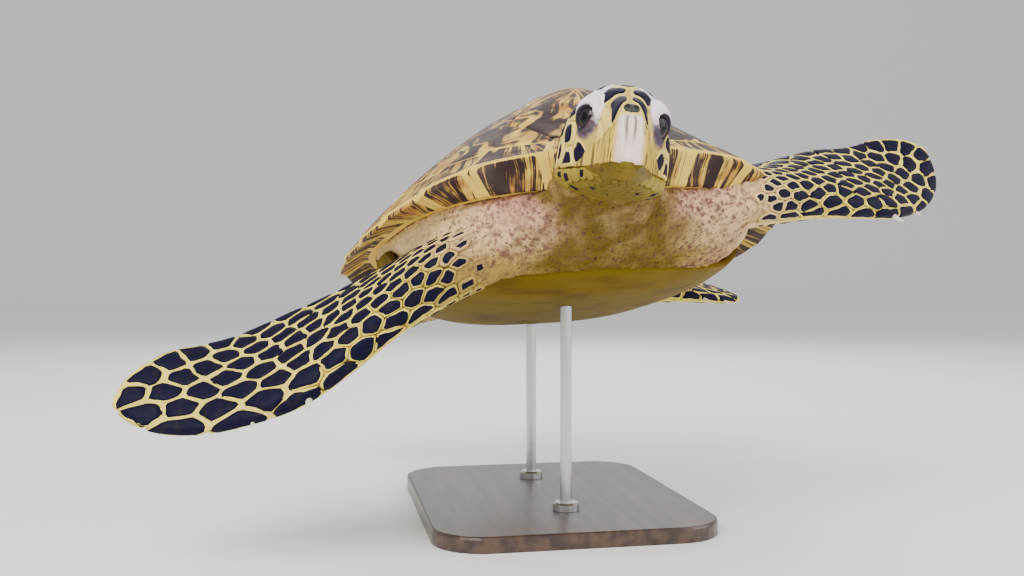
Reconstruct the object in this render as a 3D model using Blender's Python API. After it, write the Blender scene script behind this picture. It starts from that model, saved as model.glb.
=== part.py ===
"""Hawksbill sea turtle swimming, a life-size display model on a plain stand.

Metres, +Z up. The turtle is modelled level in its own frame: the head points
along -Y, its left side along +X, and Z = 0 is the rim of the shell. One empty
then tips it into its swimming pose above the stand. The origin is the middle
of the underside of the stand's base.
"""

import math

import bmesh
import bpy
import numpy as np
from mathutils import Matrix, Vector

# ---- driving sizes ---------------------------------------------------------
SHELL_LENGTH = 0.68  # straight length of the upper shell
SHELL_HALF_WIDTH = 0.39 * SHELL_LENGTH
SHELL_RISE = 0.23 * SHELL_LENGTH  # crown of the shell above its rim
BELLY_DEPTH = 0.142 * SHELL_LENGTH  # underside of the plastron below the rim
HEAD_LENGTH = 0.230 * SHELL_LENGTH  # beak tip to the back of the skull
FORE_LENGTH = 0.665 * SHELL_LENGTH  # front flipper, from inside the shoulder
HIND_LENGTH = 0.35 * SHELL_LENGTH
TAIL_LENGTH = 0.18 * SHELL_LENGTH

GAP = 0.0004  # clearance between pieces that touch

# ---- pose on the stand -----------------------------------------------------
BODY_HEIGHT = 0.345  # rim of the shell above the floor
NOSE_UP = math.radians(10)
RIGHT_SIDE_DOWN = math.radians(2.5)

# ---- shell -----------------------------------------------------------------
RIM_THICKNESS = 0.006
LENS_FLOOR = -0.010  # flat underside of the upper shell, inside its rim
RIM_INSET = 0.90  # share of the outline where that flat underside ends
SHELL_ROWS = (0, 0.22, 0.46, 0.66, 0.82, 0.93, 1.0)  # shares from the spine to the rim
SPINE_SHARE = 0.46  # length of the shell's ridge line, from which its sides slope
SPINE_SHIFT = -0.04 * SHELL_LENGTH
MARGINALS = 12  # plates along each side of the rim, behind the nuchal plate
NUCHAL_SHARE = 0.055  # share of each side's outline that the nuchal plate takes
SERRATION = 0.020  # how far the hindmost rim plates stand out
PLASTRON_THICKNESS = 0.008
BRIDGE_ANGLE = 0.14  # where the plastron meets the rim, round the belly from its side

# ---- stand -----------------------------------------------------------------
BASE_LENGTH = 0.42
BASE_WIDTH = 0.34
BASE_THICKNESS = 0.018
BASE_CORNER = 0.06
BASE_BEVEL = 0.003
ROD_RADIUS = 0.007
ROD_SPACING = 0.20
COLLAR_RADIUS = 0.016
COLLAR_HEIGHT = 0.010
ROD_BITE = 0.007  # how far a rod runs past the belly before it is cut to it


def smooth_curve(*stations):
    """A function through (position, value) stations, with no overshoot between them."""
    at, value = np.array(stations, float).T
    rise = np.diff(value) / np.diff(at)
    slope = np.concatenate([rise[:1], np.zeros(len(at) - 2), rise[-1:]])
    before, after = rise[:-1], rise[1:]
    turning = before * after > 0
    mean = 2 * before * after / np.where(turning, before + after, 1)
    slope[1:-1] = np.where(turning, mean, 0)

    def curve(x):
        x = np.clip(x, at[0], at[-1])
        i = np.clip(np.searchsorted(at, x) - 1, 0, len(at) - 2)
        width = at[i + 1] - at[i]
        t = (x - at[i]) / width
        return (
            value[i] * (1 + 2 * t) * (1 - t) ** 2
            + slope[i] * width * t * (1 - t) ** 2
            + value[i + 1] * t * t * (3 - 2 * t)
            + slope[i + 1] * width * t * t * (t - 1)
        )

    return curve


def power(value, exponent):
    """value to a power, keeping its sign."""
    return np.sign(value) * np.abs(value) ** exponent


# ---- scene and materials ---------------------------------------------------
def material(name, colour, roughness, metallic=0.0):
    made = bpy.data.materials.new(name)
    made.use_nodes = True
    shader = made.node_tree.nodes["Principled BSDF"]
    shader.inputs["Base Color"].default_value = (*colour, 1.0)
    shader.inputs["Roughness"].default_value = roughness
    shader.inputs["Metallic"].default_value = metallic
    return made


def empty(name, location=(0, 0, 0), parent=None):
    made = bpy.data.objects.new(name, None)
    made.location = location
    made.parent = parent
    bpy.context.scene.collection.objects.link(made)
    return made


def place(name, bm, finish, parent):
    """Turns a bmesh into a smooth-shaded object under parent.

    Without a finish it is a cutter, hidden from the finished model.
    """
    bmesh.ops.triangulate(bm, faces=bm.faces)
    bmesh.ops.recalc_face_normals(bm, faces=bm.faces)
    mesh = bpy.data.meshes.new(name)
    bm.to_mesh(mesh)
    bm.free()
    obj = bpy.data.objects.new(name if finish else "cut_" + name, mesh)
    obj.parent = parent
    bpy.context.scene.collection.objects.link(obj)
    if finish is None:
        obj.hide_render = True
        obj.display_type = "WIRE"
        return obj
    mesh.materials.append(finish)
    mesh.shade_smooth()
    mesh.set_sharp_from_angle(angle=math.radians(40))
    return obj


def cap(bm, ring, tip):
    """Closes a ring of vertices with a fan to tip, or with one face where tip is None."""
    if tip is None:
        bm.faces.new(ring)
        return
    centre = bm.verts.new(tip)
    for i, vert in enumerate(ring):
        bm.faces.new((vert, ring[i - 1], centre))


def loft(name, rings, finish, parent, start=None, end=None):
    """A closed solid through rings of points, capped flat or with a fan to a point."""
    bm = bmesh.new()
    rows = [[bm.verts.new(point) for point in ring] for ring in rings]
    for row, following in zip(rows, rows[1:]):
        for i in range(len(row)):
            bm.faces.new((row[i - 1], row[i], following[i], following[i - 1]))
    cap(bm, rows[0], start)
    cap(bm, rows[-1], end)
    return place(name, bm, finish, parent)


def subtract(obj, *cutters):
    for cutter in cutters:
        cut = obj.modifiers.new("fit " + cutter.name, "BOOLEAN")
        cut.operation = "DIFFERENCE"
        cut.solver = "EXACT"
        cut.object = cutter


# ---- upper shell -----------------------------------------------------------
outline_share = smooth_curve(
    (0, 0), (0.10, 0.45), (0.20, 0.70), (0.33, 0.90), (0.50, 1.0), (0.62, 0.90), (0.76, 0.59),
    (0.88, 0.27), (1, 0)
)
rim_height = smooth_curve(
    (0, 0.030), (0.15, 0.013), (0.32, -0.012), (0.5, -0.020), (0.8, -0.009), (1, 0.010)
)


def marginal_bounds():
    """Shares of the outline where one rim plate ends and the next begins."""
    return np.linspace(NUCHAL_SHARE, 1, MARGINALS + 1)


def serration(p):
    """How far the rim stands out at p: each hind plate runs out to a point at its rear."""
    bounds = marginal_bounds()
    plate = np.clip(np.searchsorted(bounds, p, "right") - 1, 0, MARGINALS - 1)
    along = np.clip((p - bounds[plate]) / (bounds[1] - bounds[0]), 0, 1)
    growth = smooth_curve((0, 0.08), (0.4, 0.15), (0.7, 0.7), (1, 1))
    return SERRATION * growth(p) * (along**1.6 - 0.35)


def outline_samples():
    """Shares p round one side: four to a plate, close together at each point."""
    bounds = marginal_bounds()
    width = bounds[1] - bounds[0]
    steps = np.array([0.03, 0.40, 0.75, 0.97]) * width
    return np.concatenate([[0.0, NUCHAL_SHARE * 0.6], (bounds[:-1, None] + steps).ravel(), [1.0]])


spine_height = smooth_curve((-0.30, 0.88), (-0.12, 1.0), (0.05, 0.97), (0.20, 0.80))


def ridge(share):
    """Fall of the shell from its spine, 0 at the spine and 1 at the rim."""
    soft = 0.012
    return ((share**2 + soft) ** 0.66 - soft**0.66) / ((1 + soft) ** 0.66 - soft**0.66)


def shell_point(share, p, side, grow=0.0):
    """A point of the shell at a share of the way from its spine to its rim at p."""
    x = side * SHELL_HALF_WIDTH * outline_share(p)
    y = -SHELL_LENGTH / 2 * np.cos(math.pi * p)
    step = 0.005
    ahead_x = side * SHELL_HALF_WIDTH * (outline_share(p + step) - outline_share(p - step))
    ahead_y = -SHELL_LENGTH / 2 * (np.cos(math.pi * (p + step)) - np.cos(math.pi * (p - step)))
    length = np.hypot(ahead_x, ahead_y)
    out_x, out_y = side * ahead_y / length, -side * ahead_x / length
    inside = np.sin(math.pi * np.clip(p, 0, 1)) > 1e-6
    out_x, out_y = np.where(inside, out_x, 0), np.where(inside, out_y, np.sign(p - 0.5))
    tooth = serration(p) * np.clip((share - 0.86) / 0.14, 0, 1) ** 1.5 + grow * 1.5 * share
    spine_y = SPINE_SHARE * y + SPINE_SHIFT
    crown = SHELL_RISE * spine_height(spine_y / SHELL_LENGTH)
    height = crown * (1 - ridge(share)) + rim_height(p) * share**4
    across = share * x + tooth * out_x
    along = spine_y + share * (y - spine_y) + tooth * out_y
    return np.stack(np.broadcast_arrays(across, along, height), axis=-1)


def make_carapace(finish, parent, grow=0.0):
    """The upper shell, flat beneath; grow enlarges it all round to make a cutter."""
    samples = outline_samples()
    bm = bmesh.new()
    floor = []
    for side in (1, -1):
        rows = [shell_point(share, samples, side, grow) for share in SHELL_ROWS]
        for row in rows:
            row[:, 2] += grow
        under = shell_point(1.0, samples, side, grow)
        under[:, 2] -= RIM_THICKNESS + grow
        flat = shell_point(RIM_INSET, samples, side, grow)
        flat[:, 2] = LENS_FLOOR - grow
        rows = [[bm.verts.new(point) for point in row] for row in rows + [under, flat]]
        for row, following in zip(rows, rows[1:]):
            for i in range(len(samples) - 1):
                bm.faces.new((row[i], row[i + 1], following[i + 1], following[i]))
        floor.append(rows[-1])
    bmesh.ops.remove_doubles(bm, verts=bm.verts, dist=0.00005)
    bmesh.ops.holes_fill(bm, edges=bm.edges)
    return place("carapace", bm, finish, parent)


# ---- trunk and plastron ----------------------------------------------------
trunk_width = smooth_curve(
    (0.04, 0.34), (0.07, 0.47), (0.12, 0.61), (0.22, 0.75), (0.45, 0.85), (0.65, 0.75),
    (0.8, 0.50), (0.88, 0.27), (0.94, 0.13)
)
trunk_depth = smooth_curve(
    (0.04, 0.60), (0.08, 0.78), (0.14, 0.92), (0.28, 1.0), (0.6, 0.98), (0.8, 0.80),
    (0.88, 0.62), (0.94, 0.45)
)


def belly_point(q, angle, inset=0.0):
    """Underside of the body at share q of the shell's length, from the left rim round to the right."""
    half = SHELL_HALF_WIDTH * trunk_width(q) - inset
    depth = BELLY_DEPTH * trunk_depth(q) - inset
    top = LENS_FLOOR - GAP
    x = half * power(np.cos(angle), 0.72)
    z = top - (depth + top) * np.abs(np.sin(angle)) ** 0.82
    y = (q - 0.5) * SHELL_LENGTH + 0 * x
    return np.stack([x, y, z], axis=-1)


def make_trunk(finish, parent, grow=0.0):
    edge = BRIDGE_ANGLE
    under_plastron = np.linspace(edge, math.pi - edge, 15)
    angles = np.concatenate([[0, edge / 2], under_plastron, [math.pi - edge / 2, math.pi]])
    rings = []
    for q in (0.04, 0.06, 0.09, 0.14, 0.2, 0.3, 0.42, 0.54, 0.66, 0.77, 0.85, 0.90, 0.94):
        under = belly_point(np.full(len(angles), q), angles, -grow)
        across = np.linspace(-0.7, 0.7, 5)[:, None] * np.array([[under[0, 0], 0, 0]])
        over = across + np.array([0, under[0, 1], under[0, 2] + 2 * grow])
        rings.append(np.concatenate([under, over]))
    front = (0, -0.475 * SHELL_LENGTH - grow, -0.034)
    back = (0, 0.455 * SHELL_LENGTH + grow, -0.028)
    return loft("trunk", rings, finish, parent, front, back)


def make_plastron(finish, parent, grow=0.0, proud=0.0):
    """The lower shell: a plate round the belly, cut back at the sides for the limbs.

    grow enlarges it all round to make a cutter, and proud lifts that cutter's outer face.
    """
    columns = np.linspace(BRIDGE_ANGLE, math.pi - BRIDGE_ANGLE, 15)
    if grow:
        columns = np.concatenate([[columns[0] - 12 * grow], columns, [columns[-1] + 12 * grow]])
    under = np.abs(np.sin(columns))
    front_q = smooth_curve((0, 0.36), (0.45, 0.30), (0.75, 0.20), (1, 0.115))(under)
    back_q = smooth_curve((0, 0.60), (0.45, 0.66), (0.75, 0.78), (1, 0.90))(under)
    share = np.linspace(0, 1, 11)[:, None]
    q = front_q + (back_q - front_q) * share
    if grow:
        q = np.concatenate([q[:1] - 3 * grow / SHELL_LENGTH, q, q[-1:] + 3 * grow / SHELL_LENGTH])
    outer = belly_point(q, np.broadcast_to(columns, q.shape), -grow - proud)
    inner = belly_point(q, np.broadcast_to(columns, q.shape), PLASTRON_THICKNESS + grow)
    bm = bmesh.new()
    sheets = [[[bm.verts.new(p) for p in row] for row in grid] for grid in (outer, inner)]
    rows, count = len(outer), len(columns)
    for grid in sheets:
        for i in range(rows - 1):
            for j in range(count - 1):
                bm.faces.new((grid[i][j], grid[i + 1][j], grid[i + 1][j + 1], grid[i][j + 1]))
    edge = [(0, j) for j in range(count)] + [(i, count - 1) for i in range(1, rows)]
    edge += [(rows - 1, j) for j in range(count - 2, -1, -1)] + [(i, 0) for i in range(rows - 2, 0, -1)]
    for (i, j), (k, l) in zip(edge, edge[1:] + edge[:1]):
        bm.faces.new((sheets[0][i][j], sheets[0][k][l], sheets[1][k][l], sheets[1][i][j]))
    return place("plastron", bm, finish, parent)


# ---- head and neck ---------------------------------------------------------
# Head stations run from 0 at the back of the skull to 1 at the tip of the beak.
head_half_width = smooth_curve(
    (0, 0.280), (0.2, 0.328), (0.36, 0.316), (0.52, 0.262), (0.64, 0.200), (0.74, 0.150),
    (0.82, 0.124), (0.9, 0.112), (0.96, 0.096), (1, 0.058)
)
head_top = smooth_curve(
    (0, 0.215), (0.2, 0.268), (0.4, 0.284), (0.52, 0.274), (0.62, 0.240), (0.75, 0.154),
    (0.87, 0.074), (0.92, 0.022), (0.96, -0.055), (0.985, -0.140), (1, -0.246)
)
mouth_line = smooth_curve(
    (0, -0.165), (0.30, -0.200), (0.5, -0.222), (0.75, -0.238), (0.9, -0.245), (1, -0.252)
)
jaw_half_width = smooth_curve(
    (0, 0.290), (0.2, 0.325), (0.4, 0.294), (0.6, 0.210), (0.75, 0.146), (0.87, 0.110),
    (0.965, 0.078)
)
jaw_bottom = smooth_curve(
    (0, -0.290), (0.2, -0.318), (0.45, -0.332), (0.65, -0.328), (0.8, -0.316), (0.965, -0.282)
)
MOUTH_GAP = 0.0006
JAW_REACH = 0.965  # the lower beak ends inside the hook of the upper one
SNOUT_CUT = 0.70  # where the horn of the beak begins
CHIN_CUT = 0.66
EYE_STATION = 0.585
EYE_HEIGHT = 0.046 * HEAD_LENGTH
EYE_SPREAD = 0.160 * HEAD_LENGTH
EYE_RADIUS = 0.088 * HEAD_LENGTH
HEAD_ORIGIN = Vector((-0.016, -0.522 * SHELL_LENGTH, 0.015))
HEAD_NOD = math.radians(5)  # nose down from the line of the body
HEAD_ROLL = math.radians(11)  # keeps the head level while the body banks
HEAD_TURN = math.radians(-9)
NECK_ROOT = Vector((0, -0.33 * SHELL_LENGTH, -0.034))
NECK_ROOT_RADII = (0.088, 0.044)  # half width and half height inside the body
THROAT_SAG = 0.008


def head_frame():
    turn = Matrix.Rotation(HEAD_TURN, 4, "Z")
    nod = Matrix.Rotation(HEAD_NOD, 4, "X")
    roll = Matrix.Rotation(HEAD_ROLL, 4, "Y")
    return Matrix.Translation(HEAD_ORIGIN) @ turn @ nod @ roll


def upper_head_half(t, angles, clear=MOUTH_GAP / 2):
    """Half ring of the skull above the mouth, from its left side over the crown."""
    low = mouth_line(t) * HEAD_LENGTH + clear
    high = head_top(t) * HEAD_LENGTH
    x = head_half_width(t) * HEAD_LENGTH * power(np.cos(angles), 0.70)
    z = low + (high - low) * np.sin(angles) ** 0.70
    return np.column_stack([x, np.full(len(x), -t * HEAD_LENGTH), z])


def lower_head_half(t, angles, clear=MOUTH_GAP / 2):
    """Half ring of the lower jaw, from its left side under the chin."""
    high = mouth_line(t) * HEAD_LENGTH - clear
    low = jaw_bottom(t) * HEAD_LENGTH
    x = jaw_half_width(t) * HEAD_LENGTH * power(np.cos(angles), 0.86)
    z = high + (low - high) * np.sin(angles) ** 0.80
    return np.column_stack([x, np.full(len(x), -t * HEAD_LENGTH), z])


def head_solid(name, half_ring, stations, tip, finish, parent):
    """A piece of the head between two stations, flat along the mouth."""
    angles = np.linspace(0, math.pi, 15)
    rings = []
    for t in stations:
        arch = half_ring(t, angles)
        across = np.linspace(-0.6, 0.6, 4)[:, None] * np.array([[arch[0, 0], 0, 0]])
        floor = across + np.array([0, arch[0, 1], arch[0, 2]])
        rings.append(np.concatenate([arch, floor]))
    return loft(name, rings, finish, parent, end=tip)


def make_eye(side, finish, parent, grow=0.0):
    bm = bmesh.new()
    bmesh.ops.create_uvsphere(bm, u_segments=14, v_segments=9, radius=EYE_RADIUS + grow)
    eye = place("eye_left" if side > 0 else "eye_right", bm, finish, parent)
    eye.location = (side * EYE_SPREAD, -EYE_STATION * HEAD_LENGTH, EYE_HEIGHT)
    return eye


def make_head(finishes, parent):
    frame = empty("head_frame", parent=parent)
    frame.matrix_local = head_frame()
    cut = GAP / HEAD_LENGTH
    skull_stations = (0, 0.1, 0.2, 0.3, 0.4, 0.48, 0.56, 0.63, SNOUT_CUT - cut)
    beak_stations = (SNOUT_CUT, 0.76, 0.82, 0.87, 0.91, 0.945, 0.97, 0.99)
    skull = head_solid("head", upper_head_half, skull_stations, None, finishes["skin"], frame)
    tip = (0, -HEAD_LENGTH, -0.249 * HEAD_LENGTH)
    head_solid("beak_upper", upper_head_half, beak_stations, tip, finishes["horn"], frame)
    jaw_stations = (0, 0.1, 0.2, 0.3, 0.4, 0.5, 0.58, CHIN_CUT - cut)
    chin_stations = (CHIN_CUT, 0.73, 0.80, 0.86, 0.92, JAW_REACH)
    head_solid("jaw", lower_head_half, jaw_stations, None, finishes["skin"], frame)
    head_solid("beak_lower", lower_head_half, chin_stations, None, finishes["horn"], frame)
    for side in (1, -1):
        make_eye(side, finishes["eye"], frame)
        subtract(skull, make_eye(side, None, frame, GAP))
    return frame


def make_neck(finish, parent):
    """A loose-skinned neck from inside the trunk to the back of the skull."""
    angles = np.linspace(0, math.pi, 13)
    over, under = upper_head_half(0, angles, 0), lower_head_half(0, angles, 0)[::-1]
    ring_end = np.concatenate([over, under[1:-1]])
    to_body = np.array(head_frame())
    ring_end[:, 1] += GAP
    ring_end = ring_end @ to_body[:3, :3].T + to_body[:3, 3]
    around = np.linspace(0, 2 * math.pi, len(ring_end), endpoint=False)
    across, high = NECK_ROOT_RADII
    start_y = np.full(len(around), NECK_ROOT.y)
    ring_start = np.column_stack([across * np.cos(around), start_y, NECK_ROOT.z + high * np.sin(around)])
    rings = []
    for t in np.linspace(0, 1, 8):
        blend = t * t * (3 - 2 * t)
        ring = ring_start * (1 - blend) + ring_end * blend
        ring[:, 1] = ring_start[:, 1] * (1 - t) + ring_end[:, 1] * t
        ring[:, 2] -= THROAT_SAG * math.sin(math.pi * t) * np.clip(-np.sin(around), 0, 1)
        rings.append(ring)
    return loft("neck", rings, finish, parent)


# ---- limbs -----------------------------------------------------------------
# Stations run from 0 inside the body to 1 at the tip; widths are shares of the limb's length.
TIP_ROUNDING = 0.84  # where the limbs start to round off to their tips
FORE_FLIPPER = {
    "length": FORE_LENGTH,
    "leading": smooth_curve(
        (0, 0.085), (0.15, 0.085), (0.30, 0.085), (0.48, 0.110), (0.60, 0.124), (0.74, 0.106),
        (0.88, 0.080), (1, 0.060)
    ),
    "trailing": smooth_curve(
        (0, 0.085), (0.15, 0.095), (0.3, 0.115), (0.45, 0.146), (0.58, 0.164), (0.72, 0.166),
        (0.86, 0.155), (1, 0.140)
    ),
    "thickness": smooth_curve(
        (0, 0.140), (0.15, 0.130), (0.3, 0.096), (0.45, 0.070), (0.62, 0.050), (0.8, 0.032),
        (0.95, 0.018), (1, 0.008)
    ),
    "nose_heavy": 0.5,
}
HIND_FLIPPER = {
    "length": HIND_LENGTH,
    "leading": smooth_curve((0, 0.14), (0.3, 0.13), (0.55, 0.17), (0.75, 0.19), (1, 0.14)),
    "trailing": smooth_curve((0, 0.14), (0.3, 0.16), (0.55, 0.24), (0.75, 0.26), (1, 0.20)),
    "thickness": smooth_curve((0, 0.22), (0.3, 0.16), (0.6, 0.09), (0.85, 0.05), (1, 0.02)),
    "nose_heavy": 0.3,
}


def bend(*stations):
    """Direction angles along a limb, given in degrees."""
    return smooth_curve(*((at, math.radians(angle)) for at, angle in stations))


# sweep is aft, lift is up and drop is the leading edge turned down, all in the turtle's frame.
FORE_LEFT = {
    "side": 1,
    "root": Vector((0.096, -0.277, -0.021)),
    "sweep": bend((0, 14), (0.35, 20), (0.65, 27), (1, 36)),
    "lift": bend((0, 13), (0.35, 6), (0.65, 7), (1, 57)),
    "drop": bend((0, 35), (0.35, 50), (0.65, 52), (1, 58)),
}
FORE_RIGHT = {
    "side": -1,
    "root": Vector((-0.091, -0.272, -0.055)),
    "sweep": bend((0, 12), (0.35, 16), (0.65, 7), (1, 9)),
    "lift": bend((0, -4), (0.35, -31), (0.65, -21), (1, 18)),
    "drop": bend((0, 31), (0.35, 52), (0.65, 52), (1, 66)),
}
HIND_LEFT = {
    "side": 1,
    "root": Vector((0.120, 0.180, -0.036)),
    "sweep": bend((0, 4), (0.5, 10), (1, 26)),
    "lift": bend((0, 0), (0.5, -4), (1, -4)),
    "drop": bend((0, 20), (0.5, 26), (1, 28)),
}
HIND_RIGHT = {
    **HIND_LEFT,
    "side": -1,
    "root": Vector((-0.105, 0.190, -0.040)),
    "sweep": bend((0, 28), (0.5, 38), (1, 52)),
    "lift": bend((0, -8), (0.5, -10), (1, -6)),
}


def limb_axis(limb, pose, steps=60):
    """Points along the middle of a limb with its forward and upward directions at each."""
    s = np.linspace(0, 1, steps + 1)
    sweep, lift, drop = pose["sweep"](s), pose["lift"](s), pose["drop"](s)
    level_run = np.cos(lift)
    along = np.column_stack([level_run * np.cos(sweep), level_run * np.sin(sweep), np.sin(lift)])
    level = np.column_stack([np.sin(sweep), -np.cos(sweep), np.zeros(len(s))])
    above = np.cross(level, along)
    forward = level * np.cos(drop)[:, None] - above * np.sin(drop)[:, None]
    upward = level * np.sin(drop)[:, None] + above * np.cos(drop)[:, None]
    middle = (along[1:] + along[:-1]) / 2
    points = np.vstack([[0, 0, 0], np.cumsum(middle, axis=0) / steps]) * limb["length"]
    mirror = np.array([pose["side"], 1, 1])
    return s, np.array(pose["root"]) + points * mirror, forward * mirror, upward * mirror


def limb_section(limb, pose, station, angles, grow=0.0):
    """Ring of a limb at a station: angle 0 is the leading edge and pi the trailing one."""
    s, points, forward, upward = limb_axis(limb, pose)
    point, ahead, above = (
        np.array([np.interp(station, s, row) for row in grid.T]) for grid in (points, forward, upward)
    )
    rounding = math.sqrt(1 - max(0.0, (station - TIP_ROUNDING) / (1 - TIP_ROUNDING)) ** 2)
    lead = limb["leading"](station) * rounding * limb["length"] + grow
    trail = limb["trailing"](station) * rounding * limb["length"] + grow
    thick = limb["thickness"](station) * limb["length"] / 2 + grow
    fullness = 1 + limb["nose_heavy"] * min(1.0, station / 0.3) * np.cos(angles)
    across = (lead - trail) / 2 + (lead + trail) / 2 * np.cos(angles)
    over = thick * np.sin(angles) * fullness
    return point + across[:, None] * ahead + over[:, None] * above


def make_limb(name, limb, pose, finish, parent, sections, around, grow=0.0):
    angles = np.linspace(0, 2 * math.pi, around, endpoint=False)
    stations = 1 - (1 - np.linspace(0, 1, sections)) ** 1.6
    rings = [limb_section(limb, pose, t, angles, grow) for t in stations[:-1]]
    _, points, _, _ = limb_axis(limb, pose)
    beyond = (points[-1] - points[-2]) / np.linalg.norm(points[-1] - points[-2])
    return loft(name, rings, finish, parent, end=points[-1] + grow * beyond)


def make_claw(name, limb, pose, station, size, finish, parent, flesh):
    """A short hooked claw on a limb's leading edge, set against the flesh."""
    ahead = limb_section(limb, pose, station, np.array([0.0]))[0]
    behind = limb_section(limb, pose, station, np.array([math.pi]))[0]
    beyond = limb_section(limb, pose, min(station + 0.08, 1), np.array([0.0]))[0]
    out = Vector(ahead - behind).normalized()
    tipward = Vector(beyond - ahead).normalized()
    base = Vector(ahead) - out * size * 0.35
    rings = []
    for t in (0.0, 0.3, 0.6, 0.85):
        radius = 0.24 * size * (1 - t) ** 0.8
        centre = base + out * size * 1.35 * t + tipward * size * 0.5 * t * t
        direction = (out * 1.35 + tipward * t).normalized()
        two = out.cross(tipward).normalized()
        one = direction.cross(two)
        turn = [math.pi * i / 3 for i in range(6)]
        rings.append([centre + radius * (math.cos(a) * one + math.sin(a) * two) for a in turn])
    tip = base + out * size * 1.35 + tipward * size * 0.5
    claw = loft(name, rings, finish, parent, end=tip)
    subtract(claw, flesh)


TAIL_ROOT = Vector((0, 0.36 * SHELL_LENGTH, -0.036))
TAIL_DROP = 0.018
TAIL_BREADTH = 1.15  # width over height


def make_tail(finish, parent):
    turn = [math.pi * i / 6 for i in range(12)]
    width = smooth_curve((0, 0.26), (0.4, 0.18), (0.8, 0.09), (1, 0.04))
    rings = []
    for t in np.linspace(0, 0.95, 7):
        radius = width(t) * TAIL_LENGTH
        middle = TAIL_ROOT + Vector((0, TAIL_LENGTH * t, -TAIL_DROP * t))
        rings.append(
            [middle + Vector((TAIL_BREADTH * math.cos(a), 0, math.sin(a))) * float(radius) for a in turn]
        )
    return loft("tail", rings, finish, parent, end=TAIL_ROOT + Vector((0, TAIL_LENGTH, -TAIL_DROP)))


# ---- stand -----------------------------------------------------------------
def make_base(finish):
    bm = bmesh.new()
    bmesh.ops.create_cube(bm, size=1)
    bmesh.ops.scale(bm, vec=(BASE_WIDTH, BASE_LENGTH, BASE_THICKNESS), verts=bm.verts)
    bmesh.ops.translate(bm, vec=(0, 0, BASE_THICKNESS / 2), verts=bm.verts)
    upright = [e for e in bm.edges if abs(e.verts[0].co.z - e.verts[1].co.z) > BASE_THICKNESS / 2]
    bmesh.ops.bevel(bm, geom=upright, offset=BASE_CORNER, segments=8, affect="EDGES", profile=0.5)
    top = [e for e in bm.edges if all(v.co.z > BASE_THICKNESS * 0.9 for v in e.verts)]
    rim = [e for e in top if any(f.normal.z < 0.5 for f in e.link_faces)]
    bmesh.ops.bevel(bm, geom=rim, offset=BASE_BEVEL, segments=2, affect="EDGES", profile=0.5)
    return place("stand_base", bm, finish, None)


def make_rod(name, y, top, finish, under):
    """A rod with a collar at its foot, cut to meet the plastron."""
    profile = (
        (COLLAR_RADIUS, BASE_THICKNESS + GAP),
        (COLLAR_RADIUS, BASE_THICKNESS + GAP + COLLAR_HEIGHT * 0.8),
        (COLLAR_RADIUS * 0.85, BASE_THICKNESS + GAP + COLLAR_HEIGHT),
        (ROD_RADIUS, BASE_THICKNESS + GAP + COLLAR_HEIGHT),
        (ROD_RADIUS, top),
    )
    turn = np.linspace(0, 2 * math.pi, 16, endpoint=False)
    rings = [
        np.column_stack([r * np.cos(turn), y + r * np.sin(turn), np.full(len(turn), z)])
        for r, z in profile
    ]
    rod = loft(name, rings, finish, None)
    subtract(rod, under)
    return rod


def pose_empty():
    turtle = empty("turtle", location=(0, 0, BODY_HEIGHT))
    turtle.rotation_mode = "XYZ"
    turtle.rotation_euler = (-NOSE_UP, -RIGHT_SIDE_DOWN, 0)
    return turtle


def main():
    for obj in list(bpy.data.objects):
        bpy.data.objects.remove(obj, do_unlink=True)
    skin = material("mottled skin", (0.62, 0.53, 0.36), 0.55)
    scaled = material("dark scales", (0.10, 0.08, 0.07), 0.45)
    finishes = {"skin": skin, "horn": material("beak horn", (0.72, 0.60, 0.38), 0.35)}
    finishes["eye"] = material("eye", (0.02, 0.015, 0.012), 0.08)
    turtle = pose_empty()
    make_carapace(material("shell plates", (0.24, 0.15, 0.07), 0.3), turtle)
    make_plastron(material("plastron", (0.72, 0.58, 0.25), 0.4), turtle)
    subtract(make_trunk(skin, turtle), make_plastron(None, turtle, GAP, PLASTRON_THICKNESS / 2))
    around = [make(None, turtle, GAP) for make in (make_carapace, make_plastron, make_trunk)]
    make_head(finishes, turtle)
    subtract(make_neck(skin, turtle), *around)
    subtract(make_tail(skin, turtle), *around)
    limbs = (
        ("fore_flipper_left", FORE_FLIPPER, FORE_LEFT, 18, 16, ((0.58, 0.020), (0.70, 0.012))),
        ("fore_flipper_right", FORE_FLIPPER, FORE_RIGHT, 18, 16, ((0.58, 0.020), (0.70, 0.012))),
        ("hind_flipper_left", HIND_FLIPPER, HIND_LEFT, 11, 14, ((0.62, 0.014), (0.76, 0.010))),
        ("hind_flipper_right", HIND_FLIPPER, HIND_RIGHT, 11, 14, ((0.62, 0.014), (0.76, 0.010))),
    )
    for name, limb, pose, sections, ring, claws in limbs:
        flesh = make_limb(name, limb, pose, scaled, turtle, sections, ring)
        clearance = make_limb(name, limb, pose, None, turtle, sections, ring, GAP)
        for number, (station, size) in enumerate(claws, 1):
            claw_name = name.replace("flipper", "claw") + f"_{number}"
            make_claw(claw_name, limb, pose, station, size, finishes["horn"], turtle, clearance)
        subtract(flesh, *around)
    wood = material("stained wood", (0.07, 0.045, 0.03), 0.4)
    steel = material("steel rod", (0.45, 0.45, 0.46), 0.3, 1.0)
    make_base(wood)
    for name, y in (("stand_rod_front", -ROD_SPACING / 2), ("stand_rod_back", ROD_SPACING / 2)):
        belly = BODY_HEIGHT - (y + BELLY_DEPTH * math.sin(NOSE_UP)) * math.tan(NOSE_UP) - BELLY_DEPTH
        make_rod(name, y, belly + ROD_BITE, steel, around[1])


main()
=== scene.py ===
"""Looks of a hawksbill sea turtle display model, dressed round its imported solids.

Metres, +Z up. Every shape is worked out level, in the turtle's own frame: the head points along
-Y, the left side lies along +X and Z = 0 is the rim of the shell. One matrix then carries it to
its swimming pose on the stand.
"""

from __future__ import annotations

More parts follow.
